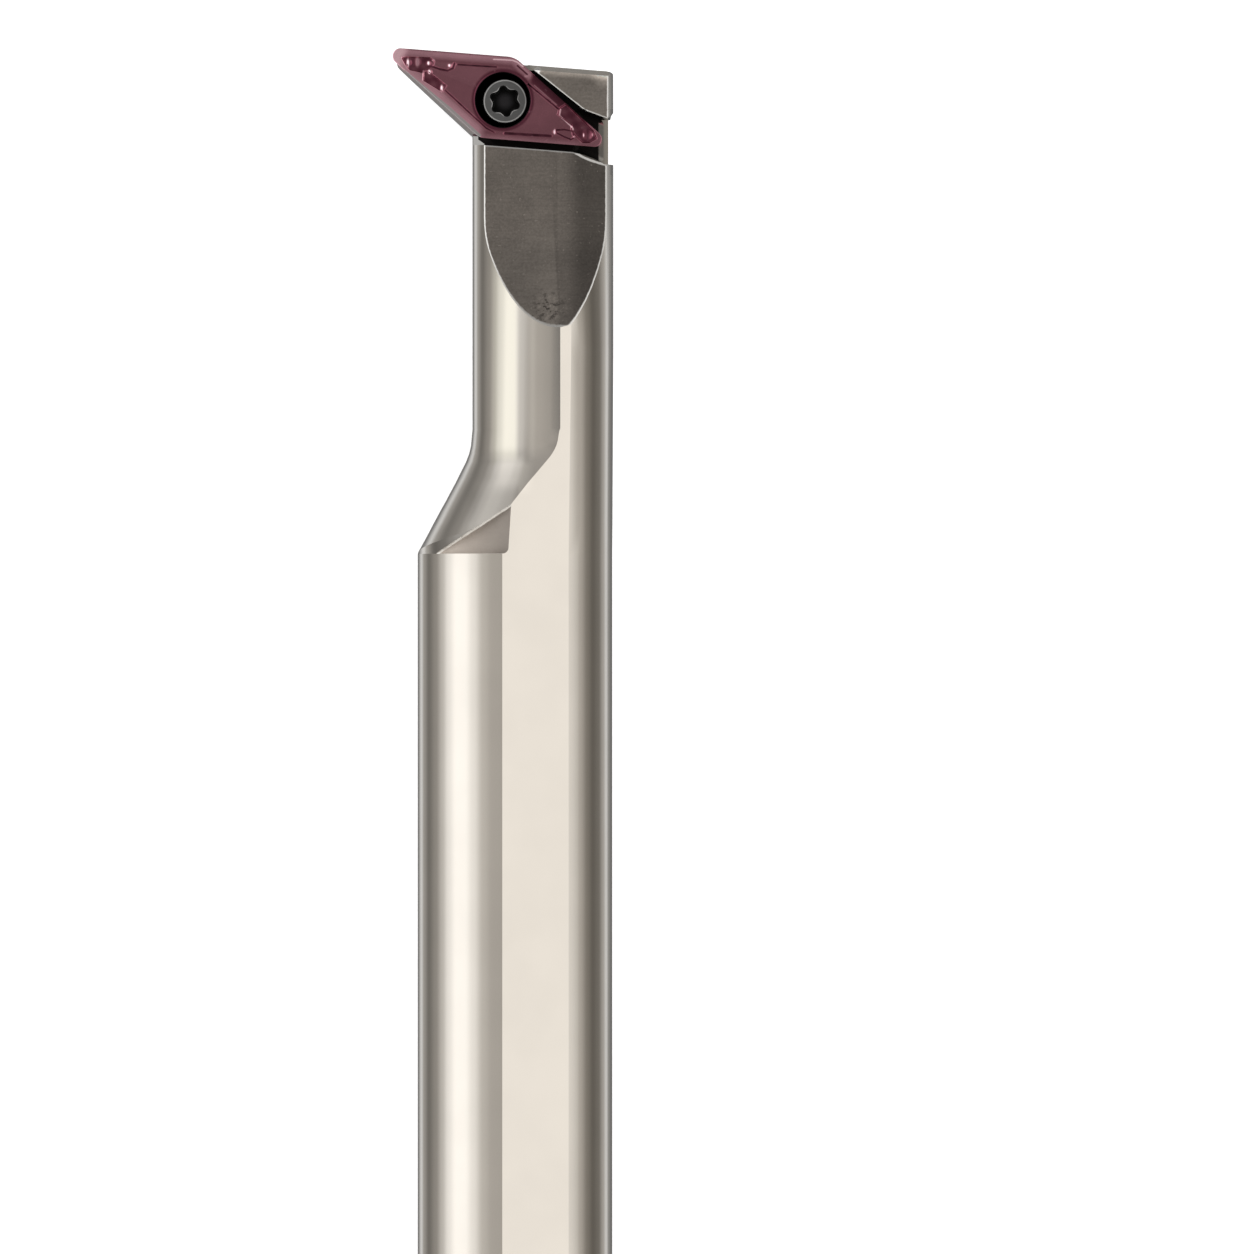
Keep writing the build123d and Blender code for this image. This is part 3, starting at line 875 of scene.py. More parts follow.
def bar_edges(tree, place, spot, crease, faces):
    """Edges of the milled faces: the distance from each, its lean, and the face it bounds."""
    x, y, _ = spot
    neck_inside, neck_spoke = round_field(tree, place, NECK_X, NECK_Z, NECK_R)
    head_inside, head_spoke = round_field(tree, place, 0, 0, HEAD_R)
    notch_low = calc(tree, "SUBTRACT", point_distance(tree, x, y, NOTCH_ARC_CENTRE), NOTCH_ARC_R)
    shoulder = all_of(tree, within(tree, y, SHOULDER_Y, FACET_TOP[1]), below(tree, x, FACET_TOP[0]))
    behind = faces["behind"]
    block = faces["block"]
    return (
        (neck_inside, neck_spoke, behind),
        (head_inside, head_spoke, faces["gullet"]),
        (line_distance(tree, x, y, FRONT_TURN, BACK_WALL), BACK_LEAN, behind),
        (notch_low, NOTCH_LOW_LEAN, behind),
        (line_distance(tree, x, y, SIDE_WALL_TURN, SIDE_WALL), SIDE_LEAN, block),
        (line_distance(tree, x, y, NOTCH_TURN, NOTCH_CORNER), NOTCH_HIGH_LEAN, block),
        (line_distance(tree, x, y, LIP_TURN, NOTCH_CORNER), LIP_LEAN, block),
        (calc(tree, "ADD", crease, CREASE_SHIFT), CREASE_LEAN, shoulder),
    )


def polished_edges(tree, place, normal, width, line_group, edges):
    """Normal leaned along each edge by the edge's own lean, and the strongest of their lines."""
    lines = []
    for distance, lean, face in edges:
        line = place_group(tree, line_group, Vector=place, Distance=distance, Width=width)["Mask"]
        lines.append(calc(tree, "MULTIPLY", line, face))
        normal = leaned(tree, normal, lean, lines[-1])
    return normal, any_of(tree, *lines)


def milled_tone(tree, place, spot, grain, faces):
    """Brightness of the dull milled faces: patchy, grainy and pitted, with a soft ridge.

    Painted shade makes it darker to the right of the ridge, towards the far side and towards the
    upper end; painted light makes it a little lighter elsewhere, lighter on the ridge's crest and on
    the block's front edge and corner, and makes the facet fall off from its tip to its top.
    """
    x, y, _ = spot
    behind = faces["behind"]
    block = faces["block"]
    facet = faces["facet"]
    cutter = noise(tree, stretched(tree, place, CUTTER_MARKS), scale=1.0, roughness=0.6)
    fine = calc(tree, "ADD", swung(tree, grain["Grain"], GRAIN_SWING), swung(tree, cutter, CUTTER_SWING))
    fine = calc(tree, "ADD", fine, swung(tree, grain["Patches"], PATCH_SWING))
    tone = calc(tree, "MULTIPLY_ADD", fine, mix_value(tree, facet, 1.0, FACET_GRAIN), 1.0)

    across = calc(tree, "MULTIPLY_ADD", calc(tree, "SUBTRACT", y, RIDGE_FADE[1]), RIDGE_SLANT, x)
    sharp = blend_from(tree, across, *RIDGE_SHARP)
    soft = blend_from(tree, across, *RIDGE_SOFT)
    right = all_of(tree, mix_value(tree, blend_from(tree, y, *RIDGE_FADE), soft, sharp), behind)
    tone = shaded(tree, tone, right, RIDGE_RIGHT_SHADE, plain=RIDGE_LEFT_LIGHT)
    # Painted shade on the gullet's far side and upper end, painted light on the block's front edge and
    # corner
    parts = (
        (x, FAR_SIDE, behind, FAR_SIDE_SHADE),
        (y, UPPER_END, behind, UPPER_END_SHADE),
        (line_distance(tree, x, y, FRONT_TURN, FRONT_EDGE), FRONT_BORDER, block, BLOCK_FRONT_LIGHT),
        (point_distance(tree, x, y, BLOCK_CORNER), CORNER_BORDER, block, BLOCK_CORNER_LIGHT),
    )
    for value, border, face, factor in parts:
        tone = shaded(tree, tone, all_of(tree, blend_from(tree, value, *border), face), factor)
    crest = all_of(
        tree, blend_from(tree, off(tree, across, CREST_X), *CREST_BORDER), calc(tree, "SUBTRACT", 1, sharp),
        blend_from(tree, y, *CREST_FADE), behind,
    )
    tone = calc(tree, "MULTIPLY_ADD", crest, CREST_LIGHT, tone)

    worn = noise(tree, place, scale=2300, roughness=0.7)
    worn_spot = all_of(tree, blend_from(tree, point_distance(tree, x, y, PITS), *PITS_BORDER), behind)
    tone = shaded(tree, tone, all_of(tree, blend_from(tree, worn, *PIT_NOISE), worn_spot), PIT_FACTOR)
    chips = all_of(tree, blend_from(tree, worn, *CHIP_NOISE), worn_spot)
    tone = calc(tree, "MULTIPLY_ADD", chips, CHIP_GAIN, tone)
    tone = calc(tree, "MULTIPLY_ADD", all_of(tree, grain["Specks"], behind), SPECK_GAIN, tone)
    # Painted light on the facet, falling off from its tip to its top
    facet_light_and_shade = mix_value(tree, blend_from(tree, x, FACET_TIP[0], FACET_TOP[0]), *FACET_LIGHT_AND_SHADE)
    return shaded(tree, tone, facet, facet_light_and_shade)


def plated_colour(tree, plated, place, spot, facing, past_side, crease, faces):
    """Colour of the plated steel: slightly cloudy, with painted shade and a painted highlight on the neck
    and shoulder, painted light and shade on the sliver, painted shade in the notch, and the small faces'
    tones.
    """
    x, y, z = spot
    _, ny, nz = facing
    clouds = noise(tree, place, scale=160, detail=3, roughness=0.55)
    colour = mix_colour(tree, blend_from(tree, clouds, *NOISE_SPAN), plated, scaled(plated, CLOUD_SHARE))
    on_neck = blend_from(tree, y, *NECK_START)
    shade_band = all_of(tree, on_neck, blend_from(tree, off(tree, x, SHADE_BAND_X), *SHADE_BAND_BORDER))
    highlight_shade = all_of(
        tree, on_neck, blend_from(tree, x, *HIGHLIGHT_SHADE_LEFT), blend_from(tree, x, *HIGHLIGHT_SHADE_RIGHT)
    )
    # The glow is a painted highlight
    glow = all_of(
        tree, blend_from(tree, y, *PAINTED_HIGHLIGHT_START), blend_from(tree, y, *PAINTED_HIGHLIGHT_END),
        blend_from(tree, off(tree, x, PAINTED_HIGHLIGHT_X), *PAINTED_HIGHLIGHT_BORDER),
    )
    shade = all_of(
        tree, above(tree, crease, 0.0), above(tree, y, SHOULDER_Y), blend_from(tree, y, *SHADE_END),
        blend_from(tree, x, *SHADE_LEFT), below(tree, x, SHADE_RIGHT), below(tree, nz, SHADE_OUT),
    )
    sliver_light_and_shade = mix_value(tree, blend_from(tree, x, *SLIVER_FADE), *SLIVER_LIGHT_AND_SHADE)
    low = below(tree, z, FLOOR_TOP)
    # Painted shade in the notch, darkest on the walls that face the tail
    notch = all_of(tree, low, above(tree, x, NOTCH_SIDE), within(tree, y, *NOTCH_REACH))
    notch_shade = mix_value(tree, blend_from(tree, x, *NOTCH_FADE), *NOTCH_SHADES)
    notch_shade = mix_value(tree, above(tree, ny, SIDE_WALL_ALONG), NOTCH_WALL_SHADE, notch_shade)
    nose = all_of(tree, low, below(tree, past_side, NOSE_LIP), above(tree, y, NOSE_START))
    # Painted shade band and painted shade on the neck's highlight, painted highlight and painted shade on
    # the shoulder, painted light and shade on the sliver, painted shade in the notch; the nose and the ledge
    # take plain colours
    parts = (
        (shade_band, scaled(plated, SHADE_BAND_SHARE)),
        (highlight_shade, HIGHLIGHT_SHADE_COLOUR),
        (glow, scaled(plated, PAINTED_HIGHLIGHT_SHARE)),
        (shade, scaled(plated, SHADE_SHARE)),
        (faces["sliver"], multiplied(tree, plated, sliver_light_and_shade)),
        (notch, multiplied(tree, plated, notch_shade)),
        (nose, NOSE_COLOUR),
        (faces["ledge"], LEDGE_COLOUR),
    )
    for mask, part_colour in parts:
        colour = mix_colour(tree, mask, colour, part_colour)
    return colour


def bar_material(settings, groups):
    """Plated steel with dull milled faces, painted shade on the pocket's walls and floors, thin polished
    edges and a painted glint.

    The faces are told apart by their place and by the direction they face, and the edges by
    the distance inside the rounds and lines that bound each face.
    """
    material, tree = new_material("plated_steel")
    place = tree.nodes.new("ShaderNodeTexCoord").outputs["Object"]
    normal = tree.nodes.new("ShaderNodeNewGeometry").outputs["Normal"]
    spot = place_group(tree, groups["head_axes"], Vector=place)
    facing = place_group(tree, groups["head_axes"], Vector=normal)
    grain = place_group(tree, groups["metal_grain"], Vector=place)
    x, y, _ = spot
    past_side = line_distance(tree, x, y, SIDE_TURN, (INSERT_X, INSERT_Y))
    crease = line_distance(tree, x, y, CREASE_TURN, FACET_TIP)
    faces = milled_faces(tree, spot, facing) | small_faces(tree, spot, facing, past_side, crease)
    milled = any_of(tree, faces["gullet"], faces["facet"])
    pocket = pocket_faces(tree, spot, facing, past_side)

    edges = bar_edges(tree, place, spot, crease, faces)
    normal, lines = polished_edges(tree, place, normal, settings.edge_width, groups["edge_line"], edges)
    for name, lean in SMALL_FACE_LEANS.items():
        normal = leaned(tree, normal, lean, faces[name])
    # The glint is a painted highlight in the edges' colour
    lines = any_of(tree, lines, faces["glint"])

    tone = milled_tone(tree, place, spot, grain, faces)
    plated = plated_colour(tree, settings.plated, place, spot, facing, past_side, crease, faces)
    colour = mix_colour(tree, milled, plated, multiplied(tree, settings.milled, tone))
    # Painted shade in the pocket, near black
    colour = mix_colour(tree, pocket, colour, settings.pocket)
    colour = mix_colour(tree, lines, colour, EDGE_COLOUR)
    streaks = noise(tree, stretched(tree, place, DRAWN_MARKS), scale=1.0, detail=3, roughness=0.6)
    smooth = swung(tree, streaks, SMOOTH_SWING, settings.plated_roughness)
    matt = swung(tree, grain["Patches"], MATT_SWING, settings.milled_roughness)
    roughness = mix_value(tree, milled, smooth, matt)
    roughness = mix_value(tree, pocket, roughness, POCKET_ROUGHNESS)
    roughness = mix_value(tree, lines, roughness, EDGE_ROUGHNESS)
    relief = calc(tree, "MULTIPLY", grain["Grain"], mix_value(tree, lines, faces["gullet"], 0.0))
    normal = vector_calc(tree, "NORMALIZE", normal)
    normal = bumped(tree, relief, distance=MILLED_RELIEF, strength=0.6, normal=normal)
    principled(tree, 1, Base_Color=colour, Roughness=roughness, Normal=normal)
    return material


def dress(name, material):
    """Puts one material on a node of the frame."""
    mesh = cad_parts[name].data
    mesh.materials.clear()
    mesh.materials.append(material)


def shared_groups():
    """Node groups that several materials use, built once."""
    builders = {"head_axes": head_axes_group, "edge_line": edge_line_group, "metal_grain": metal_grain_group}
    return {
        name: bpy.data.node_groups[name] if name in bpy.data.node_groups else build()
        for name, build in builders.items()
    }


class BORINGBAR_OT_bar(bpy.types.Operator):
    """Finishes the bar in plated steel with dull milled faces."""

    bl_idname = "boringbar.bar"
    bl_label = "Bar finish"

    def execute(self, context):
        dress("bar_body", bar_material(context.scene.boringbar_steel, shared_groups()))
        return {"FINISHED"}


# Insert


# Chip former, in millimetres in the insert's axes: x along the long diagonal to the inner tip.
# Each hollow is its outline and its depth.
HOLLOWS = (
    (((-8.50, -0.08), (-8.22, 0.10), (-6.34, 0.84), (-5.91, 0.70), (-5.89, 0.25), (-6.35, -0.35),
      (-6.51, -0.55), (-7.49, -0.74), (-7.97, -0.50)), 0.16),
    (((-6.42, -0.38), (-5.94, -0.27), (-4.21, -0.73), (-4.31, -1.35), (-6.11, -1.1)), 0.12),
    (((5.05, 1.23), (5.11, 0.68), (6.5, 0.34), (6.63, -0.06), (7.27, -0.41), (7.9, -0.63),
      (8.43, -0.4), (8.83, 0.13), (8.36, 0.6), (5.37, 1.73)), 0.17),
)
# Each groove is a line, its width and its depth.
GROOVES = (
    (((-4.06, 1.21), (-1.04, 2.29)), 0.16, 0.03),
    (((1.9, 2.03), (5.0, 1.12)), 0.20, 0.03),
    (((-4.13, -1.14), (0.14, -2.65), (0.88, -2.72)), 0.18, 0.03),
    (((1.73, -2.45), (5.3, -1.15)), 0.24, 0.03),
    (((-5.89, 0.25), (-5.28, 0.28), (-4.63, 0.43), (-4.29, 0.8), (-4.32, 1.19)), 0.22, 0.05),
    (((5.5, -0.54), (6.12, -0.23), (6.81, -0.07), (6.89, -0.3), (7.12, -0.47), (6.9, -0.79),
      (6.36, -0.8), (5.63, -0.75), (5.5, -0.54)), 0.16, 0.04),
)
# Each nub is its place, its radius and its height.
NUBS = (
    (-7.82, -0.22, 0.30, 0.06),
    (-7.17, 0.10, 0.36, 0.04),
    (-6.28, 0.38, 0.24, 0.06),
    (-5.92, -0.25, 0.24, 0.06),
    (-4.62, 0.88, 0.20, 0.05),
    (-4.47, -1.06, 0.24, 0.06),
    (8.00, 0.12, 0.44, 0.08),
    (5.45, -0.72, 0.20, 0.05),
)
# Each gleam, a painted highlight, is its place, its half width and half height as seen from above, and its
# tone.
GLEAMS = (
    (-7.85, -0.28, 0.15, 0.52, 1.0),
    (-7.17, 0.10, 0.26, 0.60, 0.58),
    (-6.30, 0.38, 0.15, 0.24, 1.0),
    (-6.01, 0.76, 0.20, 0.16, 0.56),
    (-5.94, -0.25, 0.15, 0.26, 1.0),
    (-4.64, 0.88, 0.14, 0.18, 1.0),
    (-4.49, -1.08, 0.15, 0.40, 1.0),
    (5.43, -0.72, 0.11, 0.30, 0.90),
    (7.73, -0.03, 0.08, 0.24, 0.80),
    (8.40, 0.30, 0.12, 0.20, 0.50),
    (7.07, -0.45, 0.11, 0.14, 0.60),
    (1.50, 2.55, 0.24, 0.14, 0.58),
)
# Each painted line, a painted highlight or painted shade along a hollow's rim or a land's border, is a line,
# its width and its tone.
PAINTED_LINES = (
    (((-1.51, 2.77), (-0.67, 3.09), (-0.05, 3.31), (0.35, 3.33), (0.92, 3.18)), 0.13, 0.80),
    (((0.50, 3.06), (1.50, 2.72)), 0.14, 0.24),
    (((5.17, 1.15), (5.27, 0.68), (6.70, 0.15), (6.77, 0.05)), 0.12, 0.78),
    (((-6.42, -0.38), (-6.25, -0.80)), 0.11, 0.60),
    (((2.40, 2.13), (4.70, 1.38)), 0.12, 0.47),
)
# Width of the hollows' walls, how wide the hollows' painted shade spreads, and how much more painted shade
# the grooves take
WALL_W = 0.11
HOLLOW_SPREAD = 1.5
GROOVE_SHADE = 1.35
GROOVE_EXTRA_SHADE = 0.25
# Painted light and shade of each side's land, lighter or darker from side to side as the light falls: tones
# by the distance inwards from the edge
UPPER_LEFT = (
    (0.05, 0.16, 0.25, 0.42, 0.58, 0.70, 0.80, 0.95), (0.44, 0.56, 0.56, 0.53, 0.47, 0.42, 0.385, 0.42)
)
UPPER_RIGHT = ((0.0, 0.15, 0.45, 0.62, 0.78), (0.14, 0.20, 0.24, 0.30, 0.41))
LOWER_LEFT = ((0.10, 0.50, 0.70, 0.85, 1.00), (0.62, 0.59, 0.54, 0.46, 0.41))
LOWER_RIGHT = ((0.05, 0.30, 0.55, 0.75), (0.49, 0.44, 0.385, 0.41))
# Where along the insert the right side's and the tips' painted light and shade begin to change, and over
# what length
UPPER_RIGHT_START = (1.7, 0.5)
LOWER_RIGHT_START = (-0.5, 1.0)
OUTER_TIP_END = (-8.75, 0.8)
INNER_TIP_START = (7.2, 0.8)
OUTER_TIP_TONE = 0.74
INNER_TIP_TONE = 0.43
# Painted shade tone of the hollows and grooves, how far it is mottled, and the two waves in radians per
# millimetre
HOLLOW_SHADE_TONE = 0.29
MOTTLE_TONE = 0.05
MOTTLE_WAVES = (4.7, 5.9)
# The painted shade round the hole: how much darker, where it starts and over what width it ends
HOLE_SHADE = 0.14
HOLE_BORDER = (0.08, 0.22)
# How far out a gleam stays full, and over what share of its size it ends
GLEAM_BORDER = (0.35, 0.65)
# Tones at which the coating takes the painted deepest shade, the painted shade, its own plain colour and the
# painted light
BLACK_TONE = 0.08
DEEP_TONE = 0.28
PLAIN_TONE = 0.41
PALE_TONE = 0.59
# The bare ground strip along the lower side: its width, its soft border, and where it starts and is full
STRIP_W = 0.24
STRIP_BORDER = 0.08
STRIP_LEAST = 0.02
STRIP_START = -8.3
STRIP_RUN = 5.0
# Points on each arc of the outline, steps round the outline and steps of the angle
ARC_POINTS = 60
OUTLINE_STEPS = 6000
ANGLE_STEPS = 8001
# The insert's small rounds, the places of its rings at the edge and the hole's mouth, and its cone
SMALLEST_NOSE = 0.05 * MM
UNDER_ROUND = 0.04 * MM
EDGE_ROUND = 0.05 * MM
EDGE_MIDDLE = 0.016 * MM
SIDE_DROPS = (0.12 * MM, 0.05 * MM)
MOUTH_MIDDLE = (0.03 * MM, 0.04 * MM)
CONE_START = 0.56 * MM
CONE_END = CONE_START + (HOLE_R - THROAT_R) / math.tan(math.radians(30))
# Colours of the painted deepest shade on the coating and of the painted shadow in the hole
DEEPEST_SHADE_COLOUR = (0.01, 0.004, 0.005)
HOLE_SHADOW_COLOUR = (0.006, 0.005, 0.006)
# Brightness of the darker patches, strength of the specks, swing of the roughness, and the fine relief
PATCH_SHARE = 0.95
SPECK_SHARE = 0.15
COATING_SWING = 0.06
COATING_RELIEF = 0.0015 * MM
# How far pale tones and the ground strip lean to the left softbox
PALE_LEAN = ACROSS * -1.45
GROUND_LEAN = ACROSS * -0.20 - ALONG * 0.16


def outline_radius(angles, inset):
    """Distance from the hole's centre to the insert's outline at each angle.

    The outline is four arcs, round the two sharp tips and the two blunt corners, joined by
    straight sides; it is walked at even steps and read off by its angle from the hole.
    """
    half = INSERT_HALF - inset
    nose = max(INSERT_NOSE_R - inset, SMALLEST_NOSE)
    arcs = (
        ((half - nose) / math.sin(INSERT_TIP), 0, nose, 0, math.pi / 2 - INSERT_TIP),
        (0, (half - INSERT_SIDE_R) / math.cos(INSERT_TIP), INSERT_SIDE_R, math.pi / 2, INSERT_TIP),
        ((nose - half) / math.sin(INSERT_TIP), 0, nose, math.pi, math.pi / 2 - INSERT_TIP),
        (0, (INSERT_SIDE_R - half) / math.cos(INSERT_TIP), INSERT_SIDE_R, 3 * math.pi / 2, INSERT_TIP),
    )
    share = np.linspace(-1, 1, ARC_POINTS)
    corners = np.concatenate(
        [
            np.stack((x + r * np.cos(middle + spread * share), y + r * np.sin(middle + spread * share)), 1)
            for x, y, r, middle, spread in arcs
        ]
    )
    loop = np.vstack((corners, corners[:1]))
    walked = np.concatenate(([0], np.cumsum(np.hypot(*np.diff(loop, axis=0).T))))
    steps = np.linspace(0, walked[-1], OUTLINE_STEPS)
    px = np.interp(steps, walked, loop[:, 0]) - HOLE_SHIFT
    py = np.interp(steps, walked, loop[:, 1])
    turn = np.arctan2(py, px)
    order = np.argsort(turn)
    return np.interp(angles, turn[order], np.hypot(px, py)[order], period=2 * math.pi)


def even_angles(count):
    """Angles from the hole's centre that space the outline's points evenly."""
    fine = np.linspace(-math.pi, math.pi, ANGLE_STEPS)
    radius = outline_radius(fine, 0)
    px, py = radius * np.cos(fine), radius * np.sin(fine)
    walked = np.concatenate(([0], np.cumsum(np.hypot(np.diff(px), np.diff(py)))))
    return np.interp(np.arange(count) / count * walked[-1], walked, fine)


def soft_step(value, width):
    """1 below 0 and 0 above the width, along a smooth curve."""
    share = np.clip(value / width, 0, 1)
    return 1 - share * share * (3 - 2 * share)


def soft_rise(value, start, width):
    """0 below the start and 1 from the width past it, along a smooth curve."""
    return 1 - soft_step(value - start, width)


def segment_distance(x, y, start, end):
    """Distance to a straight piece of line."""
    run = np.array(end) - np.array(start)
    share = np.clip(((x - start[0]) * run[0] + (y - start[1]) * run[1]) / (run @ run), 0, 1)
    return np.hypot(x - start[0] - share * run[0], y - start[1] - share * run[1])


def path_distance(x, y, path):
    """Distance to a line of several straight pieces."""
    return np.min([segment_distance(x, y, start, end) for start, end in zip(path, path[1:])], axis=0)


def polygon_distance(x, y, corners):
    """Distance to an outline, negative inside it.

    A point is inside if a line from it to the right crosses the outline an odd number of times.
    """
    inside = np.zeros(x.shape, bool)
    loop = (*corners, corners[0])
    for start, end in zip(loop, loop[1:]):
        if start[1] != end[1]:
            reach = (end[0] - start[0]) * (y - start[1]) / (end[1] - start[1]) + start[0]
            inside ^= ((start[1] > y) != (end[1] > y)) & (x < reach)
    distance = path_distance(x, y, loop)
    return np.where(inside, -distance, distance)


def chip_former(x, y):
    """Depth, rise and painted shade of the top face: hollows and grooves with soft walls, and nubs.

    Depth and rise are in millimetres. A nub is a dome whose height falls with the square of the
    distance from its middle.
    """
    sunk = np.zeros(x.shape)
    dark = np.zeros(x.shape)
    for corners, depth in HOLLOWS:
        cover = soft_step(polygon_distance(x, y, corners) + WALL_W / 2, WALL_W)
        sunk = np.maximum(sunk, depth * cover)
        dark = np.maximum(dark, cover)
    for path, width, depth in GROOVES:
        cover = soft_step(path_distance(x, y, path) - width / 4, width / 3)
        sunk = np.maximum(sunk, depth * cover)
        dark = np.maximum(dark, GROOVE_SHADE * cover)
    raised = np.zeros(x.shape)
    for nub_x, nub_y, radius, rise in NUBS:
        share = np.hypot(x - nub_x, y - nub_y) / radius
        raised = np.maximum(raised, rise * np.clip(1 - share * share, 0, 1))
    return sunk, raised, dark


def side_tone(x, edge, left, right, right_start):
    """Tone of one side's land, from its left run of tones to its right one."""
    share = soft_rise(x, *right_start)
    return np.interp(edge, *left) * (1 - share) + np.interp(edge, *right) * share


def coating_tone(x, y, edge, hole_edge, shade):
    """Tone of the coating with its painted light and shade, from 0 for black to 1 for a gleam, at points in
    millimetres.

    Each side's land has its own run of painted light and shade inwards from the edge, lighter or
    darker from side to side as the light falls. The tips have theirs, the hollows and grooves take
    painted shade, softly mottled by a product of two waves, and the painted lines of highlight and
    shade and the painted gleams lie over all.
    """
    upper = side_tone(x, edge, UPPER_LEFT, UPPER_RIGHT, UPPER_RIGHT_START)
    lower = side_tone(x, edge, LOWER_LEFT, LOWER_RIGHT, LOWER_RIGHT_START)
    tone = np.where(y > 0, upper, lower)
    tone += (OUTER_TIP_TONE - tone) * (1 - soft_rise(x, *OUTER_TIP_END))
    tone += (INNER_TIP_TONE - tone) * soft_rise(x, *INNER_TIP_START)
    mottled = HOLLOW_SHADE_TONE + MOTTLE_TONE * np.sin(MOTTLE_WAVES[0] * x + 1) * np.cos(MOTTLE_WAVES[1] * y)
    tone += (mottled - tone) * np.clip(HOLLOW_SPREAD * shade, 0, 1)
    tone -= GROOVE_EXTRA_SHADE * np.clip(shade - 1, 0, 1)
    tone -= HOLE_SHADE * (1 - soft_rise(hole_edge, *HOLE_BORDER))
    for path, width, line_tone in PAINTED_LINES:
        tone += (line_tone - tone) * soft_step(path_distance(x, y, path) - width / 5, width / 2)
    cos_turn, sin_turn = math.cos(INSERT_TURN), math.sin(INSERT_TURN)
    for gleam_x, gleam_y, half_width, half_height, gleam in GLEAMS:
        across = (x - gleam_x) * cos_turn + (y - gleam_y) * sin_turn
        along = (y - gleam_y) * cos_turn - (x - gleam_x) * sin_turn
        share = np.hypot(across / half_width, along / half_height)
        tone += (gleam - tone) * (1 - soft_rise(share, *GLEAM_BORDER))
    return tone


def insert_mesh(settings):
    """One closed surface of rings round the hole's centre: under, side, edge, top, and down the hole.

    Each ring is a radius and a height for each angle. The tone is the coating's, with its painted
    light and shade, the ground mask is 1 on the bare strip, and the hole mask is 1 in the hole,
    which takes painted shadow.
    """
    angles = even_angles(settings.around)
    slope = math.tan(INSERT_CLEARANCE)
    under_r = outline_radius(angles, INSERT_T * slope)
    rings = [
        (THROAT_R, -INSERT_T),
        (under_r - UNDER_ROUND, -INSERT_T),
        (under_r, UNDER_ROUND - INSERT_T),
        *((outline_radius(angles, drop * slope), -drop) for drop in SIDE_DROPS),
        (outline_radius(angles, EDGE_MIDDLE), -EDGE_MIDDLE),
    ]
    start = len(rings)
    mouth_r = HOLE_R + HOLE_ROUND
    share = np.linspace(0, 1, settings.inwards)[:, None]
    top_r = outline_radius(angles, EDGE_ROUND) * (1 - share) + mouth_r * share
    top_x = (top_r * np.cos(angles) + HOLE_SHIFT) / MM
    sunk, raised, dark = chip_former(top_x, top_r * np.sin(angles) / MM)
    rings += zip(top_r, (raised - sunk) * MM)
    end = len(rings)
    rings += [
        (HOLE_R + MOUTH_MIDDLE[0], -MOUTH_MIDDLE[1]),
        (HOLE_R, -HOLE_ROUND),
        (HOLE_R, -CONE_START),
        (THROAT_R, -CONE_END),
    ]
    ones = np.ones(len(angles))
    radius = np.array([ring_r * ones for ring_r, _ in rings])
    height = np.array([ring_z * ones for _, ring_z in rings])
    in_x = radius * np.cos(angles) + HOLE_SHIFT
    in_y = radius * np.sin(angles)
    across, along, outward = (np.array(axis) for axis in (ACROSS, ALONG, OUTWARD))
    long_way = across * math.cos(INSERT_TURN) - along * math.sin(INSERT_TURN)
    short_way = across * math.sin(INSERT_TURN) + along * math.cos(INSERT_TURN)
    centre = across * INSERT_X + along * INSERT_Y + outward * INSERT_TOP
    points = centre + in_x[..., None] * long_way + in_y[..., None] * short_way + height[..., None] * outward
    index = np.arange(radius.size).reshape(radius.shape)
    next_ring = np.roll(index, -1, axis=0)
    faces = np.stack((index, np.roll(index, -1, axis=1), np.roll(next_ring, -1, axis=1), next_ring), axis=-1)
    mesh = bpy.data.meshes.new("cutting_insert_coated")
    mesh.from_pydata(points.reshape(-1, 3).tolist(), [], faces.reshape(-1, 4).tolist())
    mesh.shade_smooth()

    x, y = in_x / MM, in_y / MM
    edge = INSERT_HALF / MM - np.abs(x) * math.sin(INSERT_TIP) - np.abs(y) * math.cos(INSERT_TIP)
    strip_w = STRIP_W * np.clip((x - STRIP_START) / STRIP_RUN, 0, 1)
    ground = soft_step(edge - strip_w, STRIP_BORDER) * (x < 0) * (y < 0) * (strip_w > STRIP_LEAST)
    shade = np.zeros(radius.shape)
    shade[start:end] = dark
    hole = np.zeros(radius.shape)
    hole[end:] = 1
    tone = coating_tone(x, y, edge, (radius - mouth_r) / MM, shade)
    for name, values in {"tone": tone, "ground": ground, "hole": hole}.items():
        mask = mesh.attributes.new(name, "FLOAT", "POINT")
        mask.data.foreach_set("value", values.ravel().astype(np.float32))
    return mesh


def attribute(tree, name):
    """Value of one of the mesh's own masks."""
    made = tree.nodes.new("ShaderNodeAttribute")
    made.attribute_name = name
    return made.outputs["Fac"]


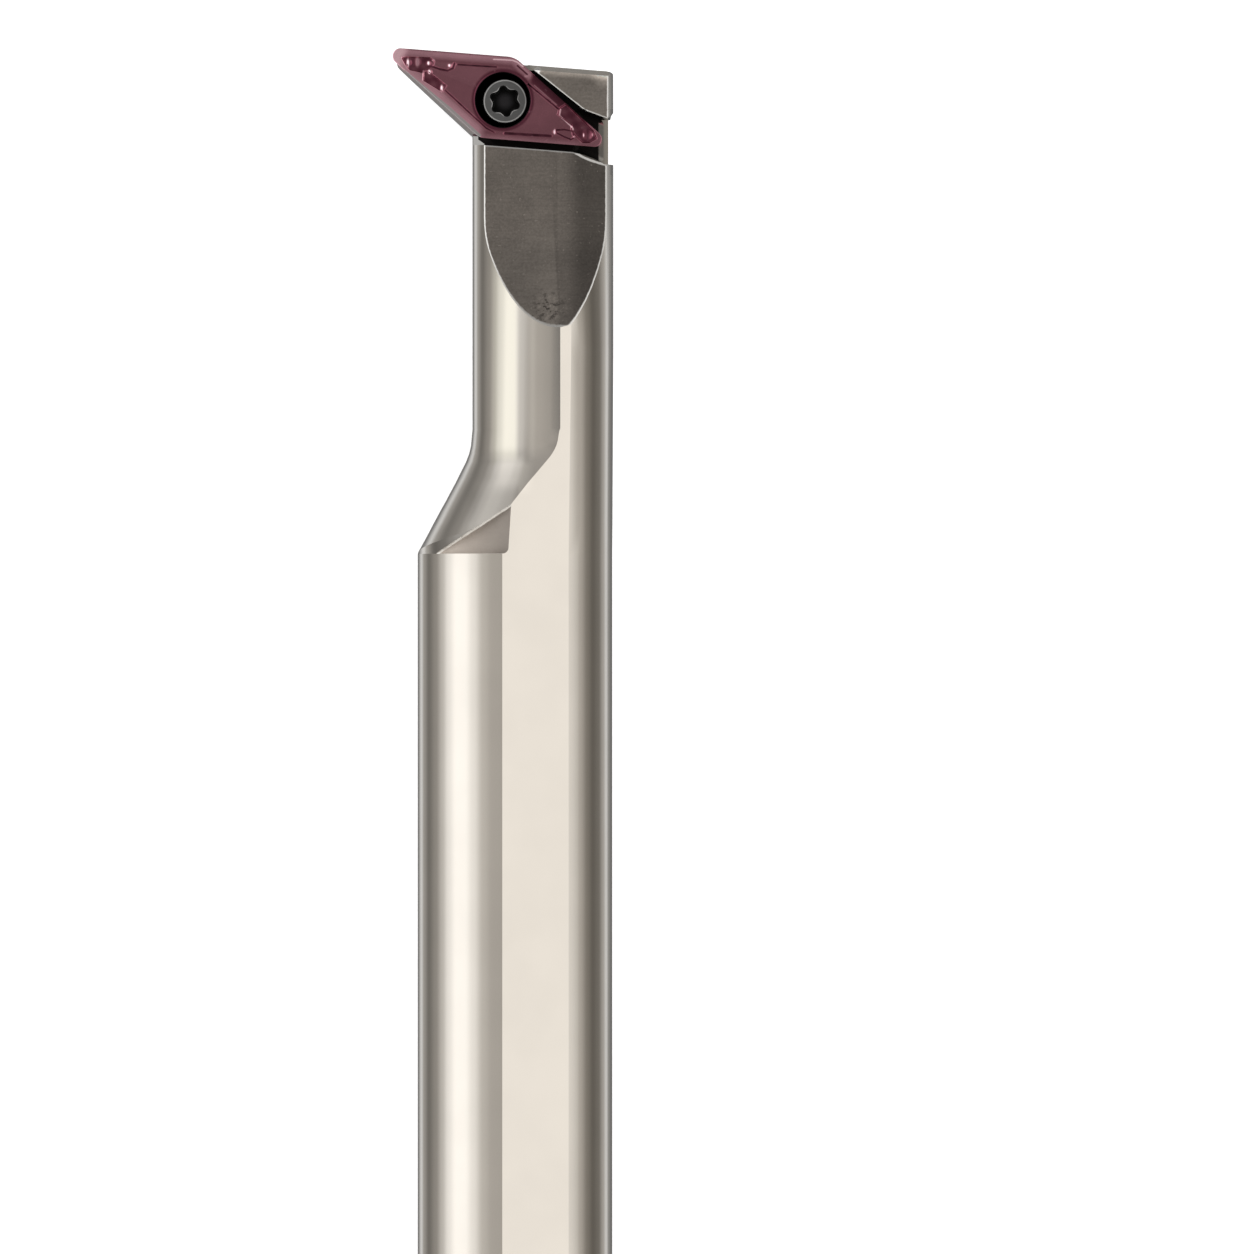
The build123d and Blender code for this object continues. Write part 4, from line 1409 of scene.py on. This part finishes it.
def insert_material(settings, groups):
    """Mauve coating by its tone, from painted shade through its own colour to painted light and painted
    gleams, with a bare ground strip below and painted shadow in the hole.

    Pale tones also lean to the left softbox, as a rounded land does.
    """
    material, tree = new_material("mauve_coating")
    place = tree.nodes.new("ShaderNodeTexCoord").outputs["Object"]
    grain = place_group(tree, groups["metal_grain"], Vector=place)
    tone, ground, hole = (attribute(tree, name) for name in ("tone", "ground", "hole"))
    steps = (
        (BLACK_TONE, DEEP_TONE, settings.deep),
        (DEEP_TONE, PLAIN_TONE, settings.coating),
        (PLAIN_TONE, PALE_TONE, settings.pale),
        (PALE_TONE, 1.0, settings.gleam),
    )
    colour = DEEPEST_SHADE_COLOUR
    for start, end, reached in steps:
        colour = mix_colour(tree, blend_from(tree, tone, start, end, smooth=False), colour, reached)
    colour = multiplied(tree, colour, mix_value(tree, grain["Patches"], PATCH_SHARE, 1.0))
    colour = mix_colour(tree, calc(tree, "MULTIPLY", grain["Specks"], SPECK_SHARE), colour, settings.pale)
    colour = mix_colour(tree, ground, colour, settings.ground)
    # The hole takes painted shadow
    colour = mix_colour(tree, hole, colour, HOLE_SHADOW_COLOUR)
    roughness = swung(tree, grain["Patches"], COATING_SWING, settings.roughness)
    normal = tree.nodes.new("ShaderNodeNewGeometry").outputs["Normal"]
    paleness = calc(tree, "MAXIMUM", calc(tree, "SUBTRACT", tone, PALE_TONE), 0.0)
    normal = leaned(tree, normal, PALE_LEAN, paleness)
    normal = leaned(tree, normal, GROUND_LEAN, ground)
    normal = vector_calc(tree, "NORMALIZE", normal)
    normal = bumped(tree, grain["Grain"], distance=COATING_RELIEF, strength=0.4, normal=normal)
    principled(tree, 1, Base_Color=colour, Roughness=roughness, Normal=normal)
    return material


class BORINGBAR_OT_insert(bpy.types.Operator):
    """Makes the coated insert with its chip former in place of its plain solid."""

    bl_idname = "boringbar.insert"
    bl_label = "Coated insert"

    def execute(self, context):
        settings = context.scene.boringbar_insert
        insert = bpy.data.objects.new("cutting_insert_coated", insert_mesh(settings))
        context.scene.collection.objects.link(insert)
        insert.data.materials.append(insert_material(settings, shared_groups()))
        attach(insert, "root")
        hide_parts("cutting_insert")
        return {"FINISHED"}


# Screw


# The screw's middle, the rubbed line on its rim and the lobed one round its socket
SCREW_CENTRE = (
    INSERT_X + SCREW_SHIFT * math.cos(INSERT_TURN), INSERT_Y - SCREW_SHIFT * math.sin(INSERT_TURN)
)
RIM_R = 1.72 * MM
RIM_BORDER = (0.09 * MM, 0.03 * MM)
SOCKET_R = 1.185 * MM
SOCKET_WAVE = 0.135 * MM
SOCKET_LOBES = 6
SOCKET_TURN = math.radians(38.5)
LIP_BORDER = (0.055 * MM, 0.015 * MM)
LIP_LOBE_SHARE = (0.6, -0.4)
# The socket's painted shade: how far it reaches, how far inside the line it starts, and its greyer bottom
SOCKET_REACH = 1.35 * MM
SOCKET_INSIDE = 0.02 * MM
BOTTOM_BORDER = (0.9 * MM, 0.2 * MM)
SOCKET_SHADE_BLACK = (0.012, 0.012, 0.012)
SOCKET_BOTTOM_SHADE = (0.055, 0.052, 0.056)
# Depths under the screw's top to which its face, the start of the socket and the head's side reach
FACE_DEPTH = 0.06 * MM
SOCKET_DEPTH = 0.03 * MM
SIDE_DEPTH = 0.2 * MM
# Rings that turning left on the head, the relief of the metal, and the swings of wear and roughness
RING_PITCH = 0.09 * MM
RING_SHARE = 0.5
SCREW_RELIEF = 0.002 * MM
WEAR_SWING = 0.4
SCREW_SWING = 0.1


def screw_material(settings, groups):
    """Blackened steel with turned rings, rubbed paler at the rims, and painted shade in the socket, round
    its mouth and on the head's side.
    """
    material, tree = new_material("blackened_steel")
    place = tree.nodes.new("ShaderNodeTexCoord").outputs["Object"]
    x, y, z = place_group(tree, groups["head_axes"], Vector=place)
    grain = place_group(tree, groups["metal_grain"], Vector=place)
    reach = point_distance(tree, x, y, SCREW_CENTRE)
    off_x = calc(tree, "SUBTRACT", x, SCREW_CENTRE[0])
    off_y = calc(tree, "SUBTRACT", y, SCREW_CENTRE[1])
    angle = calc(tree, "ARCTAN2", off_y, off_x)
    lobes = calc(tree, "MULTIPLY_ADD", angle, SOCKET_LOBES, -SOCKET_LOBES * SOCKET_TURN)
    lobes = calc(tree, "COSINE", lobes)
    lobed_r = calc(tree, "MULTIPLY_ADD", lobes, SOCKET_WAVE, SOCKET_R)

    rim = blend_from(tree, off(tree, reach, RIM_R), *RIM_BORDER)
    lip = blend_from(tree, off(tree, reach, lobed_r), *LIP_BORDER)
    lip = all_of(tree, lip, blend_from(tree, lobes, *LIP_LOBE_SHARE))
    wear = swung(tree, grain["Patches"], WEAR_SWING, 1 - WEAR_SWING / 2)
    rubbed = all_of(tree, any_of(tree, rim, lip), above(tree, z, SCREW_TOP - FACE_DEPTH), wear)
    # Painted shade in the socket, on the top face round its mouth and on the head's side down in the hole,
    # greyer at the socket's bottom
    sunk = below(tree, z, SCREW_TOP - SOCKET_DEPTH)
    mouth = below(tree, calc(tree, "SUBTRACT", reach, lobed_r), -SOCKET_INSIDE)
    socket = all_of(tree, any_of(tree, sunk, mouth), below(tree, reach, SOCKET_REACH))
    side = all_of(tree, below(tree, z, SCREW_TOP - SIDE_DEPTH), above(tree, reach, SOCKET_REACH))
    dark = mix_colour(tree, blend_from(tree, reach, *BOTTOM_BORDER), SOCKET_SHADE_BLACK, SOCKET_BOTTOM_SHADE)
    colour = mix_colour(tree, rubbed, settings.black, settings.rubbed)
    colour = mix_colour(tree, any_of(tree, socket, side), colour, dark)

    rings = calc(tree, "SINE", calc(tree, "MULTIPLY", reach, 2 * math.pi / RING_PITCH))
    height = calc(tree, "MULTIPLY_ADD", rings, RING_SHARE, grain["Grain"])
    normal = bumped(tree, height, distance=SCREW_RELIEF, strength=0.5)
    roughness = swung(tree, grain["Patches"], SCREW_SWING, settings.roughness)
    principled(tree, 1, Base_Color=colour, Roughness=roughness, Normal=normal)
    return material


class BORINGBAR_OT_screw(bpy.types.Operator):
    """Finishes the clamping screw in blackened steel."""

    bl_idname = "boringbar.screw"
    bl_label = "Screw finish"

    def execute(self, context):
        dress("clamp_screw", screw_material(context.scene.boringbar_screw, shared_groups()))
        return {"FINISHED"}


# Sidebar and registration


class BORINGBAR_PT_sidebar(bpy.types.Panel):
    """Lists the settings and the operators of the boring bar."""

    bl_idname = "BORINGBAR_PT_sidebar"
    bl_label = "Boring bar"
    bl_space_type = "VIEW_3D"
    bl_region_type = "UI"
    bl_category = "Boring bar"

    def draw(self, context):
        for name, operator in STEPS:
            box = self.layout.box()
            settings = getattr(context.scene, f"boringbar_{name}")
            for label in settings.__annotations__:
                box.prop(settings, label)
            box.operator(operator)


STEPS = (
    ("steel", "boringbar.bar"),
    ("insert", "boringbar.insert"),
    ("screw", "boringbar.screw"),
    ("stage", "boringbar.stage"),
)
SETTINGS = {
    "boringbar_steel": SteelSettings,
    "boringbar_insert": InsertSettings,
    "boringbar_screw": ScrewSettings,
    "boringbar_stage": StageSettings,
}
CLASSES = (
    *SETTINGS.values(),
    BORINGBAR_OT_bar,
    BORINGBAR_OT_insert,
    BORINGBAR_OT_screw,
    BORINGBAR_OT_stage,
    BORINGBAR_PT_sidebar,
)


def register():
    """Registers the classes and their settings."""
    for cls in CLASSES:
        bpy.utils.register_class(cls)
    for name, kind in SETTINGS.items():
        setattr(bpy.types.Scene, name, PointerProperty(type=kind))


def unregister():
    """Removes the settings and the classes."""
    for name in SETTINGS:
        delattr(bpy.types.Scene, name)
    for cls in reversed(CLASSES):
        bpy.utils.unregister_class(cls)


def main():
    """Makes everything in order."""
    register()
    bpy.ops.boringbar.bar()
    bpy.ops.boringbar.insert()
    bpy.ops.boringbar.screw()
    bpy.ops.boringbar.stage()


if __name__ == "__main__":
    main()
